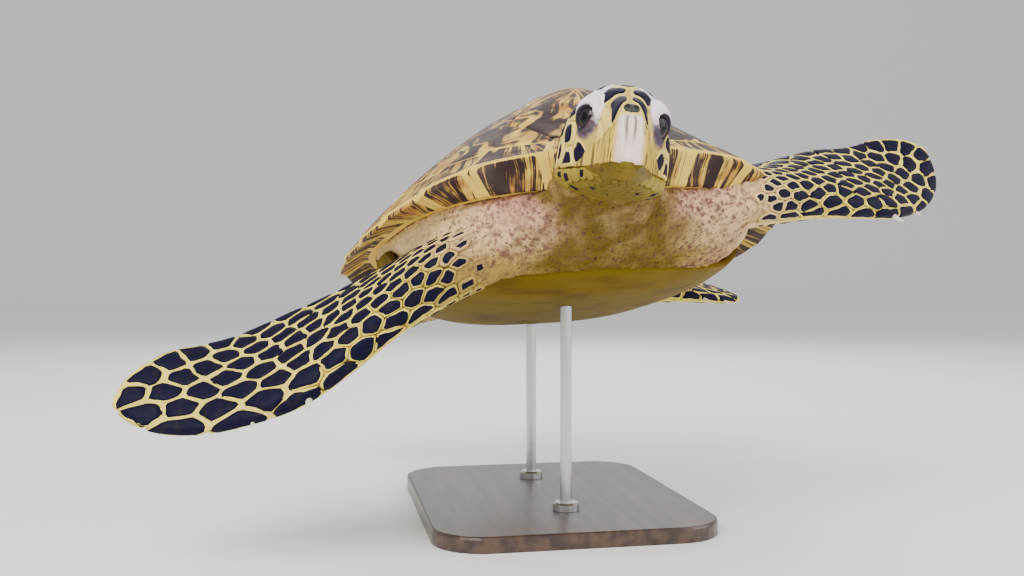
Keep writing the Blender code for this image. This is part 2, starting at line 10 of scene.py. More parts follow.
import functools
import logging
import math
from collections.abc import Callable, Sequence
from dataclasses import dataclass, field
from enum import Enum

import bmesh
import bpy
import numpy as np
from mathutils import Matrix, Vector


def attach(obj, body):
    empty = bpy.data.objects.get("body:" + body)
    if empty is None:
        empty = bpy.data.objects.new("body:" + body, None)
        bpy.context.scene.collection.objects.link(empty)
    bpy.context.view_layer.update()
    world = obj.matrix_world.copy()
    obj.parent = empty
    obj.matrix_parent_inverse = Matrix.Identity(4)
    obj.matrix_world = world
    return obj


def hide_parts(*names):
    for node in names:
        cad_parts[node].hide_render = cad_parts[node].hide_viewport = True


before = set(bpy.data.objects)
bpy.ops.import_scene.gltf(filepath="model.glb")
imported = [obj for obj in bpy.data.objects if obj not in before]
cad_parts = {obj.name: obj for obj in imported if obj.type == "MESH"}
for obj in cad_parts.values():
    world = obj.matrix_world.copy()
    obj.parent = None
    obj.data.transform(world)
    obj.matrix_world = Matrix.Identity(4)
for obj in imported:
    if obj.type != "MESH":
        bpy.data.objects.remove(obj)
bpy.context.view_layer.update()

LOG = logging.getLogger("turtle")
Array = np.ndarray
Curve = Callable[[Array], Array]
Triple = tuple[float, float, float]
Colour = Triple
Pair = tuple[Array, Array]
Material = bpy.types.Material
PI = math.pi
CHANNELS = ("red", "green", "blue")

SHELL_LENGTH = 0.68
BELLY_DEPTH = 0.142 * SHELL_LENGTH
HEAD_LENGTH = 0.230 * SHELL_LENGTH
COAT_DEPTH = 0.0012  # how far the skin lies inside the outline that its scales give
BAKE_PATCH = 0.003  # size of one scale on the map that carries the coat's colours
LLOYD_SPACING = 0.0016  # of the places that scales are shared out by
HEXAGON = 3.46  # area of a hexagon over the square of half its width


def smooth_curve(*stations: tuple[float, float]) -> Curve:
    """Makes a curve through stations that never overshoots between them.

    Args:
        stations: (position, value) pairs in order.

    Returns:
        A function of position: a cubic between stations whose slope at each is the harmonic
        mean of the slopes on both sides, or zero where the values turn.
    """
    at, value = np.array(stations, float).T
    rise = np.diff(value) / np.diff(at)
    slope = np.concatenate([rise[:1], np.zeros(len(at) - 2), rise[-1:]])
    before, after = rise[:-1], rise[1:]
    turning = before * after > 0
    mean = 2 * before * after / np.where(turning, before + after, 1)
    slope[1:-1] = np.where(turning, mean, 0)

    def curve(x: Array) -> Array:
        """The curve's value at x."""
        x = np.clip(x, at[0], at[-1])
        i = np.clip(np.searchsorted(at, x) - 1, 0, len(at) - 2)
        width = at[i + 1] - at[i]
        t = (x - at[i]) / width
        return (
            value[i] * (1 + 2 * t) * (1 - t) ** 2
            + slope[i] * width * t * (1 - t) ** 2
            + value[i + 1] * t * t * (3 - 2 * t)
            + slope[i + 1] * width * t * t * (t - 1)
        )

    return curve


def power(value: Array, exponent: float) -> Array:
    """Raises value to a power and keeps its sign."""
    return np.sign(value) * np.abs(value) ** exponent


def fade(value: Array, low: float, high: float) -> Array:
    """Goes smoothly from 0 at low to 1 at high."""
    t = np.clip((value - low) / (high - low), 0, 1)
    return t * t * (3 - 2 * t)


def xyz(x: Array, y: Array, z: Array) -> Array:
    """Puts three coordinates, broadcast to one shape, into points."""
    return np.stack(np.broadcast_arrays(x, y, z), axis=-1)


def toward(start: Array, end: Array | Colour, share: Array) -> Array:
    """Goes a share of the way from start to end, each a row of three numbers."""
    return start + (np.array(end) - start) * share[..., None]


def ring(count: int) -> Array:
    """Even angles round a full turn."""
    return np.linspace(0, 2 * PI, count, endpoint=False)


def spokes_of(count: int) -> tuple[Array, Array]:
    """Angles of even spokes, and their directions, (count, 2)."""
    angle = np.arange(count) * 2 * PI / count
    return angle, np.stack([np.cos(angle), np.sin(angle)], axis=-1)


def rgb(tint: Array) -> dict[str, Array]:
    """A colour for each point as three marks."""
    return dict(zip(CHANNELS, tint.T))


def unit(vectors: Array) -> Array:
    """Scales vectors to length 1."""
    return vectors / np.maximum(np.linalg.norm(vectors, axis=-1, keepdims=True), 1e-12)


def carried(points: Array, matrix: Array) -> Array:
    """Carries points by a 4 by 4 matrix."""
    return points @ matrix[:3, :3].T + matrix[:3, 3]


def soft_noise(points: Array, wavelength: float, seed: int, waves: int = 14) -> Array:
    """Smooth random field: the mean of sine waves in random directions.

    Args:
        points: Places, (..., 3).
        wavelength: Typical distance between crests.
        seed: Start of the random draw.
        waves: How many sine waves are added.

    Returns:
        Values of about -1 to 1.
    """
    draw = np.random.default_rng(seed)
    heading = unit(draw.normal(size=(waves, 3))) * 2 * PI / wavelength
    heading *= draw.uniform(0.6, 1.6, (waves, 1))
    phase = draw.uniform(0, 2 * PI, waves)
    return np.sin(points @ heading.T + phase).sum(-1) * math.sqrt(2 / waves) * 0.7


# ---- meshes
def quads(low: Array, high: Array, flip: bool = False) -> Array:
    """Faces between two columns of point numbers, each from one row to the next one up.

    Args:
        low: Numbers of the points on one side of the faces, (rows, columns).
        high: Numbers of the points on their other side.
        flip: Whether the faces look the other way.

    Returns:
        Four corners a face.
    """
    corners = [low[:-1], high[:-1], high[1:], low[1:]]
    if flip:
        corners = corners[:1] + corners[:0:-1]
    return np.stack(corners, axis=-1).reshape(-1, 4)


def numbered(rows: int, columns: int) -> Array:
    """Numbers of the points of a grid, row by row."""
    return np.arange(rows * columns).reshape(rows, columns)


@dataclass
class Surface:
    """Points and faces of a piece while it is being made."""

    points: Array
    faces: list[Array]
    uv: Array | None = None
    marks: dict[str, Array] = field(default_factory=dict)

    @staticmethod
    def joined(parts: Sequence[Surface]) -> Surface:
        """Puts several surfaces into one, keeping what each point carries."""
        starts = np.cumsum([0] + [len(part.points) for part in parts[:-1]])
        faces = [face + start for part, start in zip(parts, starts) for face in part.faces]
        uv = None if parts[0].uv is None else np.concatenate([part.uv for part in parts])
        names = parts[0].marks
        marks = {name: np.concatenate([part.marks[name] for part in parts]) for name in names}
        return Surface(np.concatenate([part.points for part in parts]), faces, uv, marks)

    @staticmethod
    def tube(rows: Array, start: Array | None = None, end: Array | None = None) -> Surface:
        """Closes a stack of rings with a fan at each end.

        Args:
            rows: Rings, (n, m, 3), each running the same way round.
            start: Middle of the first fan, or None for the mean of the first ring.
            end: Middle of the last fan, or None for the mean of the last ring.

        Returns:
            A closed surface.
        """
        count, around = rows.shape[:2]
        start = rows[0].mean(0) if start is None else start
        end = rows[-1].mean(0) if end is None else end
        points = np.concatenate([rows.reshape(-1, 3), [start, end]])
        index = numbered(count, around)
        right = np.roll(index, -1, axis=1)
        first = np.stack([right[0], index[0], np.full(around, count * around)], axis=-1)
        last = np.stack([index[-1], right[-1], np.full(around, count * around + 1)], axis=-1)
        return Surface(points, [quads(index, right), first, last])

    @staticmethod
    def slab(outer: Array, inner: Array) -> Surface:
        """Makes a closed plate from two grids of the same size, with a wall round their edge."""
        index = numbered(*outer.shape[:2])
        sheet = quads(index[:, :-1], index[:, 1:], flip=True)
        rim = np.concatenate([index[0], index[1:, -1], index[-1, -2::-1], index[-2:0:-1, 0]])
        ahead = np.roll(rim, -1)
        wall = np.stack([rim, ahead, ahead + index.size, rim + index.size], axis=-1)
        points = np.concatenate([outer.reshape(-1, 3), inner.reshape(-1, 3)])
        return Surface(points, [sheet, sheet[:, ::-1] + index.size, wall])

    def carried(self, matrix: Array) -> Surface:
        """The same surface carried by a 4 by 4 matrix."""
        return Surface(carried(self.points, matrix), self.faces, self.uv, self.marks)

    def mesh(self, name: str) -> bpy.types.Mesh:
        """Builds the mesh itself, with its marks as attributes and its bake map."""
        made = bpy.data.meshes.new(name)
        faces = [face for group in self.faces for face in group.tolist()]
        made.from_pydata(self.points.tolist(), [], faces)
        for title, values in self.marks.items():
            attribute = made.attributes.new(title, "FLOAT", "POINT")
            attribute.data.foreach_set("value", values.astype(np.float32))
        if self.uv is not None:
            corner = np.empty(len(made.loops), np.int32)
            made.loops.foreach_get("vertex_index", corner)
            layer = made.uv_layers.new(name="OFBake")
            layer.data.foreach_set("uv", self.uv[corner].astype(np.float32).ravel())
        made.shade_smooth()
        return made


def in_scene(name: str, data: bpy.types.ID) -> bpy.types.Object:
    """Puts an object with the given data into the scene."""
    made = bpy.data.objects.new(name, data)
    bpy.context.scene.collection.objects.link(made)
    return made


@dataclass
class Bench:
    """Places finished pieces in the scene and tells the frame about them."""

    to_world: Array  # carries level shapes to their pose

    def place(
        self, name: str, surface: Surface, finish: Material, slot: str,
        replaced: Sequence[str] = (), weld: float = 0.0, sharp: float | None = None,
    ) -> None:
        """Makes one piece from a level surface.

        Args:
            name: The piece's name.
            surface: Its shape in the turtle's level frame.
            finish: Its material.
            slot: A material slot of the record; not used.
            replaced: The solids that it stands for.
            weld: Distance within which points are merged, or 0 for none.
            sharp: Angle in degrees above which an edge stays crisp.
        """
        mesh = surface.carried(self.to_world).mesh(name)
        if weld:
            merge_doubles(mesh, weld)
        if sharp is not None:
            mesh.set_sharp_from_angle(angle=math.radians(sharp))
        mesh.materials.append(finish)
        piece = in_scene(name, mesh)
        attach(piece, "root")
        if replaced:
            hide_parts(*replaced)
        triangles = sum(len(polygon.vertices) - 2 for polygon in mesh.polygons)
        LOG.info("%s: %d triangles", name, triangles)


def merge_doubles(mesh: bpy.types.Mesh, distance: float) -> None:
    """Merges points closer than distance and turns all faces outward."""
    work = bmesh.new()
    work.from_mesh(mesh)
    bmesh.ops.remove_doubles(work, verts=work.verts, dist=distance)
    bmesh.ops.dissolve_degenerate(work, dist=distance / 10, edges=work.edges)
    bmesh.ops.recalc_face_normals(work, faces=work.faces)
    work.to_mesh(mesh)
    work.free()
    mesh.shade_smooth()


# ---- materials
@dataclass
class Signal:
    """An output of a material's node, which can be added to others, multiplied and mixed."""

    nodes: Nodes
    output: bpy.types.NodeSocket

    def calc(self, operation: str, other: Signal | float = 0.0) -> Signal:
        """One Math node on this value and another."""
        return self.nodes.made("Math", {0: self, 1: other}, operation=operation)

    def __add__(self, other: Signal | float) -> Signal:
        """The sum."""
        return self.calc("ADD", other)

    def __sub__(self, other: Signal | float) -> Signal:
        """The difference."""
        return self.calc("SUBTRACT", other)

    def __mul__(self, other: Signal | float) -> Signal:
        """The product."""
        return self.calc("MULTIPLY", other)

    def between(self, low: float, high: float) -> Signal:
        """Goes from 0 at low to 1 at high, smoothly."""
        inputs = {"From Min": low, "From Max": high, "Value": self}
        return self.nodes.made("MapRange", inputs, interpolation_type="SMOOTHSTEP")

    def mix(self, a: Signal | Colour, b: Signal | Colour) -> Signal:
        """Goes from colour a where this is 0 to colour b where it is 1."""
        return self.nodes.made("Mix", {0: self, 6: a, 7: b}, 2, data_type="RGBA")


class Nodes:
    """A material's nodes, wired by short calls."""

    def __init__(self, name: str) -> None:
        """Starts a material with one principled shader."""
        self.material = bpy.data.materials.new(name)
        self.material.use_nodes = True
        self.tree = self.material.node_tree
        self.shader = self.tree.nodes["Principled BSDF"]
        self.place = self.made("TexCoord", {}, "Object")

    def give(self, socket: bpy.types.NodeSocket, value: Signal | Colour | float) -> None:
        """Links a signal to a socket, or sets the socket to a plain value."""
        if isinstance(value, Signal):
            self.tree.links.new(value.output, socket)
        else:
            socket.default_value = (*value, 1.0) if socket.type == "RGBA" else value

    def made(self, kind: str, inputs: dict, output: str | int = 0, **settings: str) -> Signal:
        """Adds a node.

        Args:
            kind: Its type, without the start that all shader nodes share.
            inputs: What its sockets are given, by name or number.
            output: The output that is wanted.
            **settings: Its options.

        Returns:
            The output.
        """
        node = self.tree.nodes.new("ShaderNode" + kind)
        for name, value in settings.items():
            setattr(node, name, value)
        for name, value in inputs.items():
            self.give(node.inputs[name], value)
        return Signal(self, node.outputs[output])

    def mark(self, name: str) -> Signal:
        """Reads a number that each point of the piece carries."""
        return self.made("Attribute", {}, "Fac", attribute_name=name)

    def stretched(self, scale: Triple) -> Signal:
        """Object coordinates scaled apart along each axis."""
        return self.made("Mapping", {"Scale": scale, "Vector": self.place})

    def noise(self, scale: float, detail: float = 3, vector: Signal | None = None) -> Signal:
        """Noise of about 0 to 1."""
        inputs = {"Scale": scale, "Detail": detail, "Vector": vector or self.place}
        return self.made("TexNoise", inputs, "Fac")

    def cells(self, scale: float) -> Signal:
        """Distance to the middles of small random cells."""
        return self.made("TexVoronoi", {"Scale": scale, "Vector": self.place}, "Distance")

    def vector(self, *parts: Signal) -> Signal:
        """Puts up to three numbers into a vector."""
        return self.made("CombineXYZ", dict(enumerate(parts)))

    def tint(self) -> Signal:
        """Reads the colour that each point of the piece carries as three marks."""
        return self.made("CombineColor", {i: self.mark(name) for i, name in enumerate(CHANNELS)})

    def finished(
        self, colour: Signal | Colour, relief: tuple[Signal, float, float] | None, **values: float
    ) -> Material:
        """Gives the shader its colour and relief, and its other sockets by their names.

        Args:
            colour: The base colour.
            relief: Height of the bumps, the distance that they stand for and their strength.
            **values: Plain values, each by its socket's name written with underscores.

        Returns:
            The material.
        """
        self.give(self.shader.inputs["Base Color"], colour)
        for name, value in values.items():
            socket = name.replace("_", " ").title().replace("Ior", "IOR")
            self.shader.inputs[socket].default_value = value
        if relief is not None:
            inputs = dict(zip(("Height", "Distance", "Strength"), relief))
            self.give(self.shader.inputs["Normal"], self.made("Bump", inputs, "Normal"))
        return self.material


# ---- forms: the shapes that the solids have, as functions
@dataclass(frozen=True)
class SwimmingPose:
    """How the level turtle is carried to its place above the stand."""

    height: float = 0.345
    nose_up: float = math.radians(10)
    right_side_down: float = math.radians(2.5)

    def matrix(self) -> Array:
        """The matrix from the level frame to the world."""
        nod = Matrix.Rotation(-self.nose_up, 4, "X")
        bank = Matrix.Rotation(-self.right_side_down, 4, "Y")
        return np.array(Matrix.Translation((0, 0, self.height)) @ bank @ nod)


@dataclass(frozen=True)
class ShellForm:
    """Shape of the upper shell.

    A place on it is a share of the way from the spine (0) to the rim (1), at a place p round
    one side's outline from the nape (0) to the tail (1).
    """

    length: float = SHELL_LENGTH
    half_width: float = 0.39 * SHELL_LENGTH
    rise: float = 0.23 * SHELL_LENGTH
    rim_thickness: float = 0.006
    floor: float = -0.010
    rim_inset: float = 0.90
    spine_share: float = 0.46
    spine_shift: float = -0.04 * SHELL_LENGTH
    marginals: int = 12
    nuchal_share: float = 0.055
    serration: float = 0.020
    keel_softness: float = 0.012
    fall_power: float = 0.66  # how the ridge falls towards the rim
    tooth_start: float = 0.86  # share from which the rim's teeth stand out
    flat_normals: float = 0.84  # share past which the normals keep the rim's teeth out
    halvings: int = 30
    outline: Curve = smooth_curve(
        (0, 0), (0.10, 0.45), (0.20, 0.70), (0.33, 0.90), (0.50, 1.0), (0.62, 0.90),
        (0.76, 0.59), (0.88, 0.27), (1, 0),
    )
    rim_height: Curve = smooth_curve(
        (0, 0.030), (0.15, 0.013), (0.32, -0.012), (0.5, -0.020), (0.8, -0.009), (1, 0.010)
    )
    spine_height: Curve = smooth_curve((-0.30, 0.88), (-0.12, 1.0), (0.05, 0.97), (0.20, 0.80))

    def bounds(self) -> Array:
        """Places round the outline where one rim plate ends and the next begins."""
        return np.linspace(self.nuchal_share, 1, self.marginals + 1)

    def tooth(self, p: Array) -> Array:
        """How far the rim stands out at p: each hind plate runs out to a point at its rear."""
        bounds = self.bounds()
        plate = np.clip(np.searchsorted(bounds, p, "right") - 1, 0, self.marginals - 1)
        along = np.clip((p - bounds[plate]) / (bounds[1] - bounds[0]), 0, 1)
        growth = smooth_curve((0, 0.08), (0.4, 0.15), (0.7, 0.7), (1, 1))
        return self.serration * growth(p) * (along**1.6 - 0.35)

    def point(self, share: Array, p: Array, side: Array) -> Array:
        """A point of the shell: straight out from spine to rim, falling by a soft ridge curve."""
        share, p, side = np.broadcast_arrays(share, p, side)
        x = side * self.half_width * self.outline(p)
        y = -self.length / 2 * np.cos(PI * p)
        step = 0.005
        ahead_x = side * self.half_width * (self.outline(p + step) - self.outline(p - step))
        ahead_y = -self.length / 2 * (np.cos(PI * (p + step)) - np.cos(PI * (p - step)))
        length = np.hypot(ahead_x, ahead_y)
        inside = np.sin(PI * np.clip(p, 0, 1)) > 1e-6
        out_x = np.where(inside, side * ahead_y / length, 0)
        out_y = np.where(inside, -side * ahead_x / length, np.sign(p - 0.5))
        past = (share - self.tooth_start) / (1 - self.tooth_start)
        tooth = self.tooth(p) * np.clip(past, 0, 1) ** 1.5
        spine_y = self.spine_share * y + self.spine_shift
        crown = self.rise * self.spine_height(spine_y / self.length)
        soft, exponent = self.keel_softness, self.fall_power
        least = soft**exponent
        fall = ((share**2 + soft) ** exponent - least) / ((1 + soft) ** exponent - least)
        height = crown * (1 - fall) + self.rim_height(p) * share**4
        across = share * x + tooth * out_x
        along = spine_y + share * (y - spine_y) + tooth * out_y
        return xyz(across, along, height)

    def normal(self, share: Array, p: Array, side: Array) -> Array:
        """Upward normal of the shell, from the points a short step away each way."""
        share, p, side = np.broadcast_arrays(share, p, side)
        step = 0.004
        inner, outer = np.clip(share - step, 0.01, 1), np.clip(share + step, 0.02, 1)
        smooth = np.minimum(share, self.flat_normals)
        across = self.point(outer, p, side) - self.point(inner, p, side)
        low, high = np.clip(p - step, 0.001, 1), np.clip(p + step, 0, 0.999)
        along = self.point(smooth, high, side) - self.point(smooth, low, side)
        normal = unit(np.cross(across, along))
        normal *= np.sign(normal[..., 2:3])
        middle = np.minimum(1, np.abs(self.point(share, p, side)[..., 0:1]) / 0.012)
        return unit(normal * np.concatenate([middle, np.ones(middle.shape[:-1] + (2,))], -1))

    def lifted(self, share: Array, p: Array, side: Array, lift: Array | float) -> Array:
        """A point raised along the normal."""
        lift = np.asarray(lift, float)
        return self.point(share, p, side) + self.normal(share, p, side) * lift[..., None]

    def underside(self, share: Array, p: Array, side: Array) -> Array:
        """A point of the shell's underside: flat within the rim and sloping up to it."""
        below = self.point(share, p, side)
        edge = self.point(np.ones_like(share * p), p, side)[..., 2] - self.rim_thickness
        slope = np.clip((share - self.rim_inset) / (1 - self.rim_inset), 0, 1)
        below[..., 2] = self.floor + (edge - self.floor) * slope
        return below

    def share_at(self, x: Array, y: Array) -> Pair:
        """Finds the share and place under a point of the plan, by halving the span of shares."""
        shift, end = self.spine_shift, self.length / 2
        x, y = np.broadcast_arrays(np.abs(x), y)
        beyond = np.abs(y - shift) - self.spine_share * end
        slope = end * (1 - self.spine_share) - np.where(y > shift, shift, -shift)
        low = np.clip(beyond / slope, 0, 1)
        high = np.ones_like(low)
        for _ in range(self.halvings):
            share = (low + high) / 2
            rim_y = (y - shift * (1 - share)) / (self.spine_share + (1 - self.spine_share) * share)
            p = np.arccos(np.clip(-rim_y / end, -1, 1)) / PI
            short = self.half_width * self.outline(p) * share < x
            low, high = np.where(short, share, low), np.where(short, high, share)
        return share, p

    def over_plan(self, x: Array, y: Array, lift: Array | float) -> Array:
        """The shell's point above a place of the plan, raised along the normal."""
        share, p = self.share_at(x, y)
        return self.lifted(share, p, np.where(x < 0, -1.0, 1.0), lift)


@dataclass(frozen=True)
class BellyForm:
    """Shape of the body's underside at share q of the shell's length."""

    width: Curve = smooth_curve(
        (0.04, 0.34), (0.07, 0.47), (0.12, 0.61), (0.22, 0.75), (0.45, 0.85), (0.65, 0.75),
        (0.8, 0.50), (0.88, 0.27), (0.94, 0.13),
    )
    depth: Curve = smooth_curve(
        (0.04, 0.60), (0.08, 0.78), (0.14, 0.92), (0.28, 1.0), (0.6, 0.98), (0.8, 0.80),
        (0.88, 0.62), (0.94, 0.45),
    )
    half_width: float = 0.39 * SHELL_LENGTH
    top: float = -0.0104

    def point(self, q: Array, angle: Array, inset: Array | float = 0.0) -> Array:
        """A point from the left rim (angle 0) under the belly to the right rim (angle pi)."""
        q, angle = np.broadcast_arrays(q, angle)
        half = self.half_width * self.width(q) - inset
        depth = BELLY_DEPTH * self.depth(q) - inset
        x = half * power(np.cos(angle), 0.72)
        z = self.top - (depth + self.top) * np.abs(np.sin(angle)) ** 0.82
        return xyz(x, (q - 0.5) * SHELL_LENGTH, z)


@dataclass(frozen=True)
class HeadForm:
    """Shape of the head: stations t run from 0 at the back of the skull to 1 at the beak tip."""

    half_width: Curve = smooth_curve(
        (0, 0.280), (0.2, 0.328), (0.36, 0.316), (0.52, 0.262), (0.64, 0.200), (0.74, 0.150),
        (0.82, 0.124), (0.9, 0.112), (0.96, 0.096), (1, 0.058),
    )
    top: Curve = smooth_curve(
        (0, 0.215), (0.2, 0.268), (0.4, 0.284), (0.52, 0.274), (0.62, 0.240), (0.75, 0.154),
        (0.87, 0.074), (0.92, 0.022), (0.96, -0.055), (0.985, -0.140), (1, -0.246),
    )
    mouth: Curve = smooth_curve(
        (0, -0.165), (0.30, -0.200), (0.5, -0.222), (0.75, -0.238), (0.9, -0.245), (1, -0.252)
    )
    jaw_half_width: Curve = smooth_curve(
        (0, 0.290), (0.2, 0.325), (0.4, 0.294), (0.6, 0.210), (0.75, 0.146), (0.87, 0.110),
        (0.965, 0.078),
    )
    jaw_bottom: Curve = smooth_curve(
        (0, -0.290), (0.2, -0.318), (0.45, -0.332), (0.65, -0.328), (0.8, -0.316),
        (0.965, -0.282),
    )
    length: float = HEAD_LENGTH
    origin: Triple = (-0.016, -0.522 * SHELL_LENGTH, 0.015)
    nod: float = math.radians(5)
    roll: float = math.radians(11)
    turn: float = math.radians(-9)

    def matrix(self) -> Array:
        """The matrix from the head's own frame to the turtle's level frame."""
        turn = Matrix.Rotation(self.turn, 4, "Z")
        nod = Matrix.Rotation(self.nod, 4, "X")
        roll = Matrix.Rotation(self.roll, 4, "Y")
        return np.array(Matrix.Translation(self.origin) @ turn @ nod @ roll)

    def arch(self, t: Array, angle: Array, width: Array, to: Array, powers: Sequence[float]) -> Array:
        """An arch from one side of the mouth line to the other, by powers of cosine and sine."""
        mouth = self.mouth(t) * self.length
        x = width * power(np.cos(angle), powers[0])
        z = mouth + (to - mouth) * np.abs(np.sin(angle)) ** powers[1]
        return xyz(x, -t * self.length, z)

    def upper(self, t: Array, angle: Array, inset: Array | float = 0.0) -> Array:
        """A point of the skull from its left side (angle 0) over the crown to its right (pi)."""
        width = self.half_width(t) * self.length - inset
        return self.arch(t, angle, width, self.top(t) * self.length - inset, (0.70, 0.70))

    def lower(self, t: Array, angle: Array, inset: Array | float = 0.0) -> Array:
        """A point of the lower jaw from its left side (angle 0) under the chin (pi)."""
        width = self.jaw_half_width(t) * self.length - inset
        return self.arch(t, angle, width, self.jaw_bottom(t) * self.length + inset, (0.86, 0.80))


def bend(*stations: tuple[float, float]) -> Curve:
    """Direction angles along a limb, given in degrees."""
    return smooth_curve(*((at, math.radians(angle)) for at, angle in stations))


@dataclass(frozen=True)
class LimbForm:
    """Shape and pose of a flipper.

    Stations run from 0 inside the body to 1 at the tip, and widths are shares of its length.
    Sweep is aft, lift is up and drop is the leading edge turned down.
    """

    length: float
    leading: Curve
    trailing: Curve
    thickness: Curve
    nose_heavy: float
    side: int
    root: Triple
    sweep: Curve
    lift: Curve
    drop: Curve
    tip_rounding: float = 0.84

    def axis(self, steps: int = 60) -> tuple[Array, Array, Array, Array]:
        """Stations, points along the limb's middle, and its forward and upward directions."""
        s = np.linspace(0, 1, steps + 1)
        sweep, lift, drop = self.sweep(s), self.lift(s), self.drop(s)
        level_run = np.cos(lift)
        along = np.column_stack([level_run * np.cos(sweep), level_run * np.sin(sweep), np.sin(lift)])
        level = np.column_stack([np.sin(sweep), -np.cos(sweep), np.zeros(len(s))])
        above = np.cross(level, along)
        forward = level * np.cos(drop)[:, None] - above * np.sin(drop)[:, None]
        upward = level * np.sin(drop)[:, None] + above * np.cos(drop)[:, None]
        middle = (along[1:] + along[:-1]) / 2
        points = np.vstack([[0, 0, 0], np.cumsum(middle, axis=0) / steps]) * self.length
        mirror = np.array([self.side, 1, 1])
        return s, np.array(self.root) + points * mirror, forward * mirror, upward * mirror

    def section(self, station: Array, angle: Array, inset: float = 0.0) -> Array:
        """A point round the limb: angle 0 is the leading edge and pi the trailing one.

        Args:
            station: How far along the limb.
            angle: How far round its section, which is an ellipse with full edges.
            inset: How far the point lies inside the limb's outline.

        Returns:
            Points of the shape that station and angle broadcast to.
        """
        station, angle = np.broadcast_arrays(station, angle)
        s, points, forward, upward = self.axis()
        point, ahead, above = (
            np.stack([np.interp(station, s, column) for column in grid.T], axis=-1)
            for grid in (points, forward, upward)
        )
        past = np.clip((station - self.tip_rounding) / (1 - self.tip_rounding), 0, 1)
        rounding = np.sqrt(1 - past**2)
        lead = np.maximum(self.leading(station) * rounding * self.length - inset, 0)
        trail = np.maximum(self.trailing(station) * rounding * self.length - inset, 0)
        thick = np.maximum(self.thickness(station) * self.length / 2 - inset, 0.0008)
        fullness = 1 + self.nose_heavy * np.minimum(1, station / 0.3) * np.cos(angle)
        across = (lead - trail) / 2 + (lead + trail) / 2 * np.cos(angle)
        over = thick * power(np.sin(angle), 0.8) * fullness
        return point + across[..., None] * ahead + over[..., None] * above


FORE = {
    "length": 0.665 * SHELL_LENGTH,
    "leading": smooth_curve(
        (0, 0.085), (0.15, 0.085), (0.30, 0.085), (0.48, 0.110), (0.60, 0.124), (0.74, 0.106),
        (0.88, 0.080), (1, 0.060),
    ),
    "trailing": smooth_curve(
        (0, 0.085), (0.15, 0.095), (0.3, 0.115), (0.45, 0.146), (0.58, 0.164), (0.72, 0.166),
        (0.86, 0.155), (1, 0.140),
    ),
    "thickness": smooth_curve(
        (0, 0.140), (0.15, 0.130), (0.3, 0.096), (0.45, 0.070), (0.62, 0.050), (0.8, 0.032),
        (0.95, 0.018), (1, 0.008),
    ),
    "nose_heavy": 0.5,
}
HIND = {
    "length": 0.35 * SHELL_LENGTH,
    "leading": smooth_curve((0, 0.14), (0.3, 0.13), (0.55, 0.17), (0.75, 0.19), (1, 0.14)),
    "trailing": smooth_curve((0, 0.14), (0.3, 0.16), (0.55, 0.24), (0.75, 0.26), (1, 0.20)),
    "thickness": smooth_curve((0, 0.22), (0.3, 0.16), (0.6, 0.09), (0.85, 0.05), (1, 0.02)),
    "nose_heavy": 0.3,
}


class Limb(Enum):
    """The four flippers, named as their solids are."""

    FORE_LEFT = LimbForm(
        **FORE,
        side=1,
        root=(0.096, -0.277, -0.021),
        sweep=bend((0, 14), (0.35, 20), (0.65, 27), (1, 36)),
        lift=bend((0, 13), (0.35, 6), (0.65, 7), (1, 57)),
        drop=bend((0, 35), (0.35, 50), (0.65, 52), (1, 58)),
    )
    FORE_RIGHT = LimbForm(
        **FORE,
        side=-1,
        root=(-0.091, -0.272, -0.055),
        sweep=bend((0, 12), (0.35, 16), (0.65, 7), (1, 9)),
        lift=bend((0, -4), (0.35, -31), (0.65, -21), (1, 18)),
        drop=bend((0, 31), (0.35, 52), (0.65, 52), (1, 66)),
    )
    HIND_LEFT = LimbForm(
        **HIND,
        side=1,
        root=(0.120, 0.180, -0.036),
        sweep=bend((0, 4), (0.5, 10), (1, 26)),
        lift=bend((0, 0), (0.5, -4), (1, -4)),
        drop=bend((0, 20), (0.5, 26), (1, 28)),
    )
    HIND_RIGHT = LimbForm(
        **HIND,
        side=-1,
        root=(-0.105, 0.190, -0.040),
        sweep=bend((0, 28), (0.5, 38), (1, 52)),
        lift=bend((0, -8), (0.5, -10), (1, -6)),
        drop=bend((0, 20), (0.5, 26), (1, 28)),
    )

    @property
    def fore(self) -> bool:
        """Whether this is a front flipper."""
        return self in (Limb.FORE_LEFT, Limb.FORE_RIGHT)

    @property
    def title(self) -> str:
        """The start and end of its pieces' names, with a place between them."""
        region, side = self.name.lower().split("_")
        return region + "_{}_" + side


